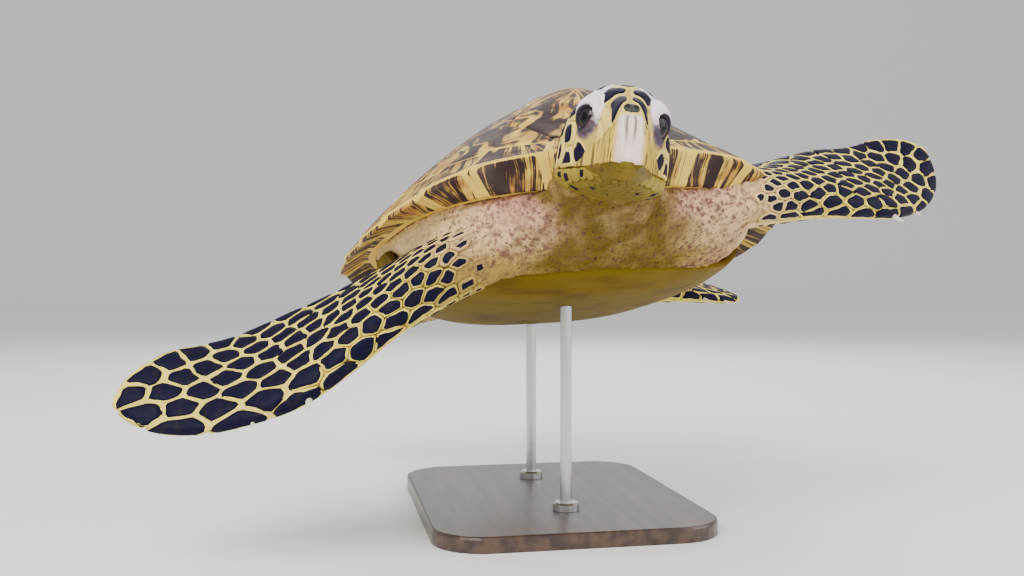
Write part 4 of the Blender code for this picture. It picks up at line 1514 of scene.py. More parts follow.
    def eye_sockets(self, points: Array) -> Array:
        """Draws the skin in round the eyes, so that the lids and eyes sit in hollows."""
        local = carried(points, np.linalg.inv(self.head.matrix()))
        for side in (1, -1):
            eye = Eye(side, self.head)
            offset = local - eye.middle()
            out = eye.gaze()
            depth = offset @ out
            radial = np.linalg.norm(offset - depth[:, None] * out, axis=1)
            inside = (1 - fade(radial, 0.0100, 0.0128)) * (depth > 0)
            local = local - out * (inside * np.maximum(depth - 0.004, 0))[:, None]
        return carried(local, self.head.matrix())

    def mouth_line(self, points: Array, normals: Array) -> Array:
        """Sinks a fine groove along the mouth."""
        local = carried(points, np.linalg.inv(self.head.matrix()))
        t = -local[:, 1] / self.head.length
        gap = local[:, 2] - self.head.mouth(t) * self.head.length
        depth = 0.0022 * np.exp(-((gap / 0.0020) ** 2)) * fade(t, 0.16, 0.26) * (t < 0.8)
        return points - normals * depth[:, None]

    def build(self) -> tuple[Surface, Array]:
        """Makes the skin and gives it with its normals, in the level frame."""
        points, faces = self.merged()
        edges = edges_of(faces)
        zones = self.blend_zones(points)
        points = relaxed(points, edges, 0.25 + 0.75 * zones, self.rounds[0])
        points = relaxed(points, edges, zones, self.rounds[1])
        points = self.eye_sockets(points)
        points = relaxed(points, edges, np.full(len(points), 0.3), self.rounds[2])
        normals = normals_of(points, faces)
        points = points + normals * self.relief(points)[:, None]
        points = self.mouth_line(points, normals)
        normals = normals_of(points, faces)
        rows = rgb(self.marks.tint(points)) | {"fleck": self.marks.fleck(points)}
        return Surface(points, [faces], None, rows), normals


def read_mesh(mesh: bpy.types.Mesh) -> Pair:
    """Points and four-cornered faces of a remeshed mesh."""
    points = np.empty(len(mesh.vertices) * 3, np.float32)
    mesh.vertices.foreach_get("co", points)
    corners = np.empty(len(mesh.loops), np.int32)
    mesh.loops.foreach_get("vertex_index", corners)
    return points.reshape(-1, 3).astype(float), corners.reshape(-1, 4)


def edges_of(faces: Array) -> Array:
    """Every edge of four-cornered faces, once."""
    pairs = np.concatenate([faces[:, [i, (i + 1) % 4]] for i in range(4)])
    return np.unique(np.sort(pairs, axis=1), axis=0)


def relaxed(points: Array, edges: Array, weight: Array, rounds: int) -> Array:
    """Moves each point part of the way to the mean of its neighbours, some rounds over."""
    count = len(points)
    a, b = edges.T
    degree = np.maximum(np.bincount(a, minlength=count) + np.bincount(b, minlength=count), 1)
    for _ in range(rounds):
        total = [np.bincount(a, axis[b], count) + np.bincount(b, axis[a], count)
                 for axis in points.T]
        mean = np.column_stack(total) / degree[:, None]
        points = points + (mean - points) * (0.5 * weight)[:, None]
    return points


def normals_of(points: Array, faces: Array) -> Array:
    """Unit normals at the points: the sum of the areas of the faces round each."""
    a, b, c, d = np.moveaxis(points[faces], 1, 0)
    total = [np.bincount(faces.ravel(), np.repeat(axis, 4), len(points))
             for axis in np.cross(c - a, d - b).T]
    return unit(np.column_stack(total))


# ---- head
def globe(radius: Array, polar: Array, turn: Array) -> Array:
    """Points at a radius, an angle from the third axis and a turn round it."""
    beside = radius * np.sin(polar)
    return xyz(beside * np.cos(turn), beside * np.sin(turn), radius * np.cos(polar))


@dataclass(frozen=True)
class Eye:
    """One eyeball, set in the side of the head."""

    side: int
    head: HeadForm
    station: float = 0.585
    height: float = 0.046 * HEAD_LENGTH
    spread: float = 0.160 * HEAD_LENGTH
    radius: float = 0.088 * HEAD_LENGTH
    bulge: float = 0.04  # how far the cornea stands out, as a share of the radius
    lid: float = 0.0027
    look: Triple = (0.85, -0.51, -0.10)  # out, a little ahead and a little down

    def middle(self) -> Array:
        """The eye's middle in the head's frame."""
        return np.array((self.side * self.spread, -self.station * self.head.length, self.height))

    def gaze(self) -> Array:
        """The direction that it looks in."""
        return unit(np.array(self.look) * (self.side, 1, 1))

    def axes(self) -> Array:
        """Ahead, up and gaze directions as rows."""
        gaze = self.gaze()
        up = unit(np.array((0, 0, 1.0)) - gaze[2] * gaze)
        ahead = np.cross(up, gaze) * self.side
        return np.stack([ahead, up, gaze])

    def ball(self) -> Surface:
        """The eyeball: rings about its gaze, with a soft swelling over the pupil."""
        polar = np.linspace(0.04, PI - 0.04, 40)[:, None]
        turn = ring(48)
        radius = self.radius * (1 + self.bulge * np.exp(-((polar / 0.5) ** 2)))
        rows = self.middle() + globe(radius, polar, turn) @ self.axes()
        pole = self.middle() + self.radius * (1 + self.bulge) * self.gaze()
        ball = Surface.tube(rows, pole, self.middle() - self.radius * self.gaze())
        angles = np.concatenate([np.repeat(polar[:, 0], 48), [0.0, PI]])
        ball.marks = {"gaze": angles}
        return ball.carried(self.head.matrix())


@dataclass
class Lids:
    """The lids and the wrinkled skin round one eye."""

    eye: Eye
    chart: Chart
    marks: Markings
    long: float = 0.0112  # half the opening's length
    tall: float = 0.0080  # half its height
    tilt: float = math.radians(-32)  # the front corner is the lower one
    outer: float = math.radians(74)  # how far round the ball the lids reach
    swell: float = 0.0052  # how far the upper lid's outer edge stands out over the ball

    def place(self) -> tuple[float, float]:
        """Where the eye comes through the head's chart, in metres along and across."""
        out = self.eye.middle() + self.eye.gaze() * self.eye.radius
        out = carried(out, self.eye.head.matrix())
        rows, columns = self.chart.points.shape[:2]
        apart = np.linalg.norm(self.chart.points - out, axis=2)
        i, j = np.unravel_index(apart.argmin(), (rows, columns))
        across = (2 * j / (columns - 1) - 1) * self.chart.half[i]
        return float(self.chart.along[i]), float(across)

    def build(self) -> Surface:
        """A closed collar: from under the lid over its rolled edge and out over the brow.

        Round the eye the opening is an almond, a superellipse of exponent 1.7. Each ring lies
        at a share of the way from the opening's edge to the outer angle, at the ball's radius
        plus the lid's height there, which swells behind the edge and carries fine folds.
        """
        eye = self.eye
        turn = ring(84)
        almond = (
            np.abs(np.cos(turn) / self.long) ** 1.7 + np.abs(np.sin(turn) / self.tall) ** 1.7
        ) ** (-1 / 1.7)
        edge = np.arcsin(np.clip(almond / eye.radius, 0, 0.95))
        share = np.array(
            [-0.10, -0.05, -0.015, 0.0, 0.02, 0.06, 0.12, 0.19, 0.27, 0.36, 0.46, 0.57, 0.68,
             0.79, 0.90, 1.0]
        )[:, None]
        rise = np.array(
            [-0.9, -0.2, 0.25, 0.75, 1.05, 1.22, 1.20, 1.10, 1.17, 1.08, 1.14, 1.06, 1.10, 1.04,
             0.98, 0.70]
        )[:, None]
        upper = fade(np.sin(turn + self.tilt), -0.4, 0.7)
        height = eye.lid * rise * (1 + 0.20 * upper * np.sin(PI * np.clip(share, 0, 1)))
        polar = edge + (self.outer - edge) * share
        around = turn + self.tilt
        brow = self.swell * fade(np.sin(around), -0.1, 0.9) * np.clip(share, 0, 1)
        middle = eye.middle()
        rows = middle + globe(eye.radius + height + brow, polar, around) @ eye.axes()
        hidden = middle + (rows[-1] - middle) * 0.72
        under = middle + (rows[0] - middle) * 0.80
        grid = carried(np.concatenate([rows, hidden[None], under[None]]), eye.head.matrix())
        index = numbered(*grid.shape[:2])
        index = np.concatenate([index, index[:1]])
        faces, points = quads(index, np.roll(index, -1, axis=1)), grid.reshape(-1, 3)
        collar = Surface(points, [faces if eye.side < 0 else faces[:, ::-1]])
        rim = np.concatenate([1 - fade(share[:, 0], 0.02, 0.16), [0.0, 1.0]])
        tint = toward(self.marks.tint(points), COLOURS.lid_edge, np.repeat(rim, len(turn)))
        collar.marks = rgb(tint) | {"fleck": self.marks.fleck(points)}
        return collar


@dataclass
class Beak:
    """The horny beak: an upper half that hooks over the lower one."""

    head: HeadForm
    chin: float = 0.60  # where the lower half begins
    reach: float = 0.965  # where it ends
    wall: float = 0.0030
    proud: float = 0.0011
    overhang: float = 0.0016  # how far the upper edge hangs over the lower one
    brim: Curve = smooth_curve(
        (0, 0.56), (0.08, 0.63), (0.20, 0.735), (0.36, 0.835), (0.60, 0.905), (1.0, 0.924),
        (1.571, 0.928),
    )

    def upper(self) -> Surface:
        """The upper half: the head's arch from a slanting brim to the tip, with a hanging edge.

        Rows run from the brim, which lies far back along the mouth and ahead of the nostrils
        on top, to the tip, closer together where the profile falls away.
        """
        angle = np.linspace(0, PI, 97)[None]
        low = np.minimum(angle, PI - angle)
        u = np.linspace(0, 1, 76)[:, None]
        brim = self.brim(low)
        t = brim + (0.9995 - brim) * (1 - (1 - u) ** 1.8)
        lift = self.proud * fade(u, 0.0, 0.06)
        outer = self.head.upper(t, angle, -lift)
        inner = self.head.upper(t, angle, self.wall)
        inner[..., 1] += self.wall * fade(t, 0.9, 1.0)
        edge = np.abs(np.cos(angle)) ** 6 * fade(u, 0.0, 0.5)
        ragged = 1 + 0.12 * np.sin(t * 150) * np.sin(t * 61)
        outer[..., 2] -= self.overhang * edge * ragged
        inner[..., 2] -= self.overhang * edge * ragged
        horn = Surface.slab(outer, inner)
        side = fade(np.abs(outer[..., 0]), 0.0020, 0.0170)
        beside = (np.abs(outer[..., 0]) - 0.0032 + 0.0005 * np.sin(90 * t)) / 0.0011
        groove = 0.9 * np.exp(-(beside**2)) * fade(u, 0.02, 0.10) * fade(u, 0.78, 0.40)
        return self.marked(horn, t, angle, side, groove)

    def lower(self) -> Surface:
        """The lower half: the jaw's arch, narrower than the upper half."""
        angle = np.linspace(0, PI, 81)[None]
        u = np.linspace(0, 1, 56)[:, None]
        brim = self.chin + 0.20 * np.sin(angle) ** 0.8
        t = brim + (self.reach - brim) * (1 - (1 - u) ** 1.5)
        lift = self.proud * fade(u, 0.0, 0.08)
        outer = self.head.lower(t, angle, -lift)
        inner = self.head.lower(t, angle, self.wall)
        inner[..., 1] += self.wall * fade(t, 0.88, self.reach)
        outer, inner = self.fronted(outer, 0.0), self.fronted(inner, self.wall)
        t = np.concatenate([t, np.repeat(t[-1:], len(outer) - len(t), axis=0)])
        horn = Surface.slab(inner, outer)
        side = 0.35 + 0.65 * np.abs(np.cos(angle)) + 0 * t
        return self.marked(horn, t, angle, side, 0 * side)

    def fronted(self, grid: Array, back: float) -> Array:
        """Closes a half's front: its last row shrinks to the mouth's level, bulging ahead."""
        last = grid[-1:]
        middle = np.array((0.0, last[..., 1].mean() + back, last[..., 2].max() - 0.0008))
        share = np.array((0.12, 0.30, 0.55, 0.80, 0.98))[:, None, None]
        front = last + (middle - last) * share
        front[..., 1] -= 0.0035 * (1 - (1 - share[..., 0]) ** 2)
        return np.concatenate([grid, front])

    def marked(self, horn: Surface, t: Array, angle: Array, side: Array, pit: Array) -> Surface:
        """Gives both faces of a half their places across and down, and poses it."""
        across = 1 - angle / (0.5 * PI) + 0 * t
        down = t + 0 * angle
        for name, grid in (("across", across), ("down", down), ("side", side), ("pit", pit)):
            horn.marks[name] = np.tile(grid.ravel(), 2)
        return horn.carried(self.head.matrix())


@dataclass(frozen=True)
class HeadScale:
    """One of the head's large scales, or a pair of them."""

    station: float  # t along the head
    down: float  # share of the way from the crown to the mouth
    room: float  # its size against its neighbours'
    dark: float  # share of it that is dark
    paired: bool = True
    pale: Colour = (0.80, 0.59, 0.15)


@dataclass
class HeadScales:
    """The large scales of the head, and the smaller ones of the jaw and throat."""

    head: HeadForm
    # painted highlight given to the scales over the eyes
    highlight_lilac: Colour = COLOURS.highlight_lilac
    room: float = 0.0095  # half the width of a scale of room 1
    eye_room: float = 1.75  # room that the scales leave for an eye

    def crown_layout(self) -> tuple[HeadScale, ...]:
        """The scales from the beak back, as in life."""
        highlight_lilac = self.highlight_lilac
        return (
            HeadScale(0.900, 0.0, 0.62, 0.0, paired=False),  # round the nostrils
            HeadScale(0.806, 0.180, 1.0, 0.90),  # prefrontals
            HeadScale(0.680, 0.160, 0.9, 0.84),
            HeadScale(0.585, 0.0, 0.7, 0.62, paired=False),  # frontal
            # pale lilac over the eye: a painted highlight
            HeadScale(0.520, 0.20, 0.9, 0.42, pale=highlight_lilac),  # over the eye
            HeadScale(0.430, 0.0, 1.2, 0.78, paired=False),  # frontoparietal
            HeadScale(0.350, 0.23, 1.2, 0.76),
            HeadScale(0.215, 0.15, 1.4, 0.80),  # parietals
            HeadScale(0.070, 0.14, 1.2, 0.76),
            HeadScale(0.385, 0.49, 1.0, 0.74),  # behind the eye
            HeadScale(0.422, 0.70, 0.95, 0.76),
            HeadScale(0.475, 0.93, 0.9, 0.66),
            HeadScale(0.592, 0.895, 0.8, 0.78),
            HeadScale(0.265, 0.44, 1.1, 0.74),
            HeadScale(0.285, 0.64, 1.1, 0.74),
            HeadScale(0.330, 0.84, 1.1, 0.62),
            HeadScale(0.190, 0.86, 1.0, 0.70),
            HeadScale(0.165, 0.64, 1.1, 0.72),
            HeadScale(0.150, 0.42, 1.1, 0.74),
            HeadScale(0.050, 0.38, 1.1, 0.70),
            HeadScale(0.050, 0.62, 1.0, 0.66),
            HeadScale(0.050, 0.84, 1.0, 0.55),
            HeadScale(0.790, 0.44, 0.6, 0.0),  # before the eye
            HeadScale(0.745, 0.66, 0.6, 0.0),
        )

    def chart(self, arch: Callable[[Array, Array], Array], end: float, size: Sequence[int]) -> Chart:
        """The skull or the jaw, from mouth line to mouth line, as far as a station."""
        t, angle = np.linspace(0.0, end, size[0]), np.linspace(0.0, PI, size[1])
        rows = carried(arch(t[:, None], angle), self.head.matrix())
        return Chart.measured(t * self.head.length, rows)

    def skull_chart(self) -> Chart:
        """The top and sides of the head."""
        return self.chart(self.head.upper, 0.940, (90, 120))

    def jaw_chart(self) -> Chart:
        """The sides and underside of the jaw."""
        return self.chart(self.head.lower, 0.80, (60, 90))

    def crown(self, chart: Chart, eyes: Sequence[tuple[float, float]]) -> HeadField:
        """Lays out the large scales, leaving room for the eyes."""
        scales = []
        for scale in self.crown_layout():
            along = scale.station * self.head.length
            across = scale.down * float(chart.half_at(np.array(along)))
            for side in (1, -1) if scale.paired else (1,):
                scales.append(((along, side * across), scale.room, scale.dark, scale.pale))
        scales += [(place, self.eye_room, -1.0, self.highlight_lilac) for place in eyes]
        centres, rooms, darks, pales = (np.array(column) for column in zip(*scales))
        return HeadField(ScaleField(chart, centres, rooms * self.room), darks, pales)

    def nostrils(self, chart: Chart) -> Surface:
        """A dark oval scale at the front of the snout, with the nostrils' two dishes in it."""
        along = 0.893 * self.head.length

        def ovals(
            shape: PlateShape, across: Sequence[float], half: Sequence[float], tint: Colour
        ) -> Surface:
            """Ovals of one size, set at places across the snout."""
            count = len(across)
            outline = np.tile(spokes_of(shape.spokes)[1] * half, (count, 1, 1))
            laid = chart.under(np.array([(along, place) for place in across]))
            roots, full = np.full((count, 2), 0.96), np.ones(count)
            return plates(shape, outline, laid, roots, full, np.tile(tint, (count, 1)), 75)

        scale = ovals(NOSE, (0.0,), (0.0046, 0.0072), COLOURS.snout)
        # near-black nostril dishes: painted shade for the depth of the openings
        dishes = ovals(NOSTRIL, (0.0036, -0.0036), (0.0014, 0.0020), COLOURS.nostril)
        return Surface.joined([scale, dishes])

    def jaw(self, chart: Chart) -> HeadField:
        """Lays out the jaw's scales: larger on its sides, small under the throat."""

        def size(a: Array, share: Array) -> Array:
            """Half a scale's width."""
            return 0.0034 + 0.0040 * fade(np.abs(share), 0.35, 0.75)

        span = (0.004, chart.along[-1] - 0.003)
        centres = relaxed_centres(chart, size, span, (1.25, 0.9), seed=31)
        share = chart.share_across(centres)
        draw = np.random.default_rng(32)
        side = fade(np.abs(share), 0.40, 0.95)
        dark = np.where(draw.uniform(size=len(centres)) < 0.02 + 0.14 * side, 0.62, 0.0)
        for along, across in ((0.535, 0.40), (0.53, -0.46), (0.36, 0.62), (0.34, -0.66)):
            off = np.hypot(centres[:, 0] / self.head.length - along, (share - across) * 0.4)
            dark[off.argmin()] = 0.85
        # painted shade: the scales under the chin are darker than those on the jaw's sides
        pale = toward(np.array(COLOURS.jaw_under), COLOURS.jaw_side, side)
        layout = ScaleField(chart, centres, np.full(len(centres), 0.01), (1.25, 0.9))
        return HeadField(layout, dark, pale)


@dataclass
class HeadField:
    """Scales of the head with the dark share and the pale colour of each."""

    layout: ScaleField
    dark: Array
    pale: Array

    def beds(self, shape: PlateShape, seed: int) -> Surface:
        """The pale scales themselves."""
        return self.layout.build(shape, self.pale, seed, np.where(self.dark < 0, 0.0, 1.0))

    def marks(self, shape: PlateShape, seed: int) -> Surface:
        """The dark blotch on each scale."""
        tint = np.tile(COLOURS.scale, (len(self.dark), 1))
        return self.layout.build(shape, tint, seed, self.dark)


# ---- flippers
@dataclass
class FlipperScales:
    """Large polygonal scales over both faces of a flipper, dark with pale borders."""

    limb: Limb
    wrap: float = 0.30  # how far the upper face's scales fold round its edges, in radians
    margin: float = 0.0032  # width of the pale fringe along its edges
    thinned: float = 0.17  # where its scales are all there, as a share of its length
    stretch: tuple[float, float] = (1.30, 0.82)
    fore_size: Curve = smooth_curve(
        (0.08, 0.0050), (0.18, 0.0074), (0.30, 0.0094), (0.50, 0.0118), (0.70, 0.0140),
        (0.88, 0.0154), (1, 0.0160),
    )
    hind_size: Curve = smooth_curve((0.30, 0.0056), (0.5, 0.0080), (0.75, 0.0100), (1, 0.0110))

    def chart(self, upper: bool) -> Chart:
        """One face of the flipper, from its trailing edge to its leading one."""
        form = self.limb.value
        stations = np.linspace(0.085 if self.limb.fore else 0.30, 0.997, 110)
        leading = -self.wrap if upper else 2 * PI - self.wrap
        angle = np.linspace(PI + self.wrap, leading, 120)
        return Chart.measured(stations * form.length, form.section(stations[:, None], angle))

    def size(self, a: Array, share: Array) -> Array:
        """Half a scale's width: small by the shoulder, larger at the edges and the tip."""
        form = self.limb.value
        station = a / form.length
        if self.limb.fore:
            grown, edge = self.fore_size(station), 0.22
        else:
            grown, edge = self.hind_size(station), 0.2
        return grown * (1 + edge * fade(np.abs(share), 0.5, 0.85))

    def dark_share(self, layout: ScaleField, upper: bool, seed: int) -> Array:
        """How much of each scale is dark: spots by the shoulder, nearly all of it beyond."""
        form = self.limb.value
        station = layout.centres[:, 0] / form.length
        share = layout.chart.share_across(layout.centres)
        draw = np.random.default_rng(seed)
        luck = draw.uniform(size=len(station))
        start, full = (0.06, 0.30) if self.limb.fore else (0.25, 0.5)
        grown = fade(station, start, full)
        dark = 0.70 + 0.30 * grown + 0.06 * (luck - 0.5)
        dark = np.where(luck < 0.82 + 0.5 * grown, dark, 0.0)
        if not upper:
            outer = np.maximum(fade(station, 0.55, 0.9), 0.6 * fade(np.abs(share), 0.4, 0.8))
            dark = np.where(luck < 0.15 + 0.75 * outer, 0.80 * dark, 0.0)
        return dark

    def laid_out(self, chart: Chart, seed: int) -> ScaleField:
        """Spreads the scales over one face."""
        span = (chart.along[0], chart.along[-1])
        centres = relaxed_centres(chart, self.size, span, self.stretch, seed)
        corner = (0.01 if seed % 2 else 0.51, 0.02, 0.45)
        even = np.full(len(centres), 0.01)
        return ScaleField(chart, centres, even, self.stretch, corner)

    def build(self, bench: Bench, skin: Markings, bed: Material, mark: Material) -> None:
        """Makes the scales of both faces and the dark horn on them."""
        form = self.limb.value
        beds, marks = [], []
        for upper in (True, False):
            seed = 40 + 2 * list(Limb).index(self.limb) + upper
            layout = self.laid_out(self.chart(upper), seed)
            dark = self.dark_share(layout, upper, seed + 100)
            station = layout.centres[:, 0] / form.length
            luck = np.random.default_rng(seed + 400).uniform(0.05, 0.95, len(station))
            begin = station.min()
            shown = fade(station, begin - 0.02, self.thinned if self.limb.fore else begin) > luck
            dark = dark * shown
            near = fade(station[:, None], 0.36, 0.10)
            pale = np.array(COLOURS.seam) * (1 - near) + skin.tint(layout.middles()[0]) * near
            beds.append(layout.build(BED, pale, seed + 200, shown.astype(float)))
            tint = np.tile(COLOURS.scale, (len(dark), 1))
            marks.append(layout.build(MARK, tint, seed + 300, dark, self.margin))
        title = self.limb.title
        bench.place(title.format("scales"), Surface.joined(beds), bed, "flipper_scales")
        bench.place(title.format("markings"), Surface.joined(marks), mark, "flipper_scales")


BED = PlateShape(crown=0.0005, edge=-0.0002, foot=-0.0028, seam=0.0001)
MARK = PlateShape(crown=0.0009, edge=0.0001, foot=-0.0020, seam=0.0012, wobble=0.11)
HEAD_BED = PlateShape(crown=0.0008, edge=-0.0002, foot=-0.0030, seam=0.0004)
JAW_BED = PlateShape(crown=0.0006, edge=0.0005, foot=-0.0030, seam=0.0)
JAW_MARK = PlateShape(crown=0.0012, edge=0.0009, foot=-0.0022, seam=0.0010, wobble=0.16)
HEAD_MARK = PlateShape(crown=0.0008, edge=0.0003, foot=-0.0022, seam=0.0010, wobble=0.16)
NOSE = PlateShape(crown=0.0010, edge=0.0010, foot=-0.0020, seam=0.0, spokes=14)
NOSTRIL = PlateShape(crown=-0.0016, edge=0.0026, foot=-0.0020, seam=0.0, spokes=14)
PEBBLE = PlateShape(0.0005, 0.0001, -0.0012, 0.00030, spokes=7, wobble=0.10, rings=(0.68, 1.0))


@dataclass
class Pebbles:
    """Small flat scales strewn over neck, shoulders and hips, some of them dark flecks."""

    marks: Markings
    spacing: float = 0.0048
    closest: float = 0.0016  # a nearer neighbour counts as this far off
    askew: Triple = (0.31, 0.20, 0.93)  # the skin's normal never lies quite along it
    reach: float = 0.15  # how far along a front flipper they run, as a share of its length

    def zone(self, points: Array) -> Array:
        """Where they lie: the skin between the shells, the head and the flippers' scales."""
        x, y, z = points.T
        head_back = -0.545 * SHELL_LENGTH + 0.25 * np.maximum(-z, 0)
        near = np.ones(len(points), bool)
        for limb in (Limb.FORE_LEFT, Limb.FORE_RIGHT):
            _, axis, _, _ = limb.value.axis()
            ahead = unit(axis[12] - axis[0])
            near &= (points - axis[0]) @ ahead < self.reach * limb.value.length
        front = (y > head_back) & (y < -0.14) & near & (z < 0.09)
        rear = (y > 0.20) & (np.abs(x) < 0.21)
        return front | rear

    def chosen(self, points: Array, seed: int) -> Array:
        """Picks points about evenly: in each cell of a lattice, the one nearest a drawn place."""
        draw = np.random.default_rng(seed)
        cell = np.floor(points / self.spacing).astype(int)
        cell -= cell.min(0)
        shape = cell.max(0) + 1
        number = np.ravel_multi_index(cell.T, shape)
        place = draw.uniform(0.3, 0.7, (int(np.prod(shape)), 3))[number]
        off = np.linalg.norm(points / self.spacing % 1 - place, axis=1)
        order = np.lexsort((off, number))
        first = np.unique(number[order], return_index=True)[1]
        return order[first]

    def build(self, points: Array, normals: Array, seed: int = 61) -> dict[str, Surface]:
        """Makes the scales on the skin's points, each a flat cell in its tangent plane.

        Args:
            points: The skin's points.
            normals: Its normals there.
            seed: Start of the random draws.

        Returns:
            The scales of the left side and those of the right side.
        """
        take = np.flatnonzero(self.zone(points))
        take = take[self.chosen(points[take], seed)]
        at, out = points[take], normals[take]
        near = nearest(at, 9)
        one = unit(np.cross(out, np.array(self.askew)))
        two = np.cross(out, one)
        apart = at[near] - at[:, None]
        offsets = np.stack([(apart * one[:, None]).sum(-1), (apart * two[:, None]).sum(-1)], -1)
        distance = np.linalg.norm(offsets, axis=2, keepdims=True)
        offsets = offsets * np.maximum(1, self.closest / np.maximum(distance, 1e-9))
        radii = cell_outlines(offsets, np.full(near.shape, 0.5), PEBBLE.spokes)
        radii = np.minimum(radii, 0.8 * self.spacing)
        outline = radii[..., None] * spokes_of(PEBBLE.spokes)[1]

        def laid(rings: Array, part: Array) -> Pair:
            """Points of the tangent planes under offsets from the middles of some scales."""
            flat = at[part, None, None] + rings[..., :1] * one[part, None, None]
            flat = flat + rings[..., 1:] * two[part, None, None]
            return flat, np.broadcast_to(out[part, None, None], flat.shape)

        draw = np.random.default_rng(seed + 1)
        tint = self.marks.tint(at) * draw.uniform(0.80, 1.12, (len(at), 1))
        luck = draw.uniform(size=len(at))
        patch = 0.5 + 0.5 * soft_noise(at, 0.018, seed + 2)
        flecks = self.marks.fleck(at)
        dark = (luck < flecks * (0.08 + 0.40 * patch)) * draw.uniform(0.25, 0.75, len(at))
        fleck = np.array(COLOURS.fleck) * draw.uniform(0.5, 1.6, (len(at), 1))
        tint = toward(tint, fleck, dark)
        spread = points.max(0)[:2] - points.min(0)[:2]
        roots = 0.01 + 0.48 * (at[:, :2] - points.min(0)[:2]) / spread.max()
        roots[:, 0] += 0.5 * (out[:, 2] < 0)
        size, tint = np.ones(len(at)), np.clip(tint, 0, 1)
        halves = {}
        for title, part in (("left", at[:, 0] >= 0), ("right", at[:, 0] < 0)):
            part = np.flatnonzero(part)
            surface = functools.partial(laid, part=part)
            half = plates(
                PEBBLE, outline[part], surface, roots[part], size[part], tint[part], seed + 3
            )
            half.marks["fleck"] = np.repeat(0.8 * flecks[part], len(half.points) // len(part))
            halves[title] = half
        return halves


def nearest(points: Array, count: int, block: int = 600) -> Array:
    """Numbers of the points nearest to each point, itself left out, a block at a time."""
    found = []
    for start in range(0, len(points), block):
        apart = ((points[start : start + block, None] - points[None]) ** 2).sum(-1)
        rows = np.arange(len(apart))
        apart[rows, start + rows] = np.inf
        found.append(np.argpartition(apart, count - 1, axis=1)[:, :count])
    return np.concatenate(found)


@dataclass
class Claw:
    """A short hooked claw on a flipper's leading edge."""

    limb: Limb
    station: float
    size: float

    def build(self) -> Surface:
        """Rings that shrink along a path bent towards the flipper's tip."""
        form = self.limb.value
        ahead = form.section(np.array(self.station), np.array(0.0))
        behind = form.section(np.array(self.station), np.array(PI))
        beyond = form.section(np.array(min(self.station + 0.08, 1)), np.array(0.0))
        out, tipward = unit(ahead - behind), unit(beyond - ahead)
        t = np.linspace(0, 0.97, 18)[:, None]
        path = ahead - out * self.size * 0.35 + out * self.size * 0.95 * t
        path = path + tipward * self.size * 0.42 * t**2
        heading = unit(out * 0.95 + tipward * 0.84 * t)
        two = unit(np.cross(out, tipward))
        one = np.cross(heading, two)
        turn = ring(16)[None, :, None]
        radius = (0.22 * self.size * (1 - t) ** 0.6)[:, None]
        rows = path[:, None] + radius * (np.cos(turn) * one[:, None] + np.sin(turn) * two)
        tip = ahead + out * self.size * 0.60 + tipward * self.size * 0.42
        claw = Surface.tube(rows, end=tip)
        down = np.concatenate([np.repeat(t[:, 0], 16), [0.0, 1.0]])
        around = np.concatenate([np.tile(np.cos(turn.ravel()), 18), [0.0, 0.0]])
        claw.marks = {"across": around, "down": down, "side": 1 - down, "pit": 0 * down}
        return claw


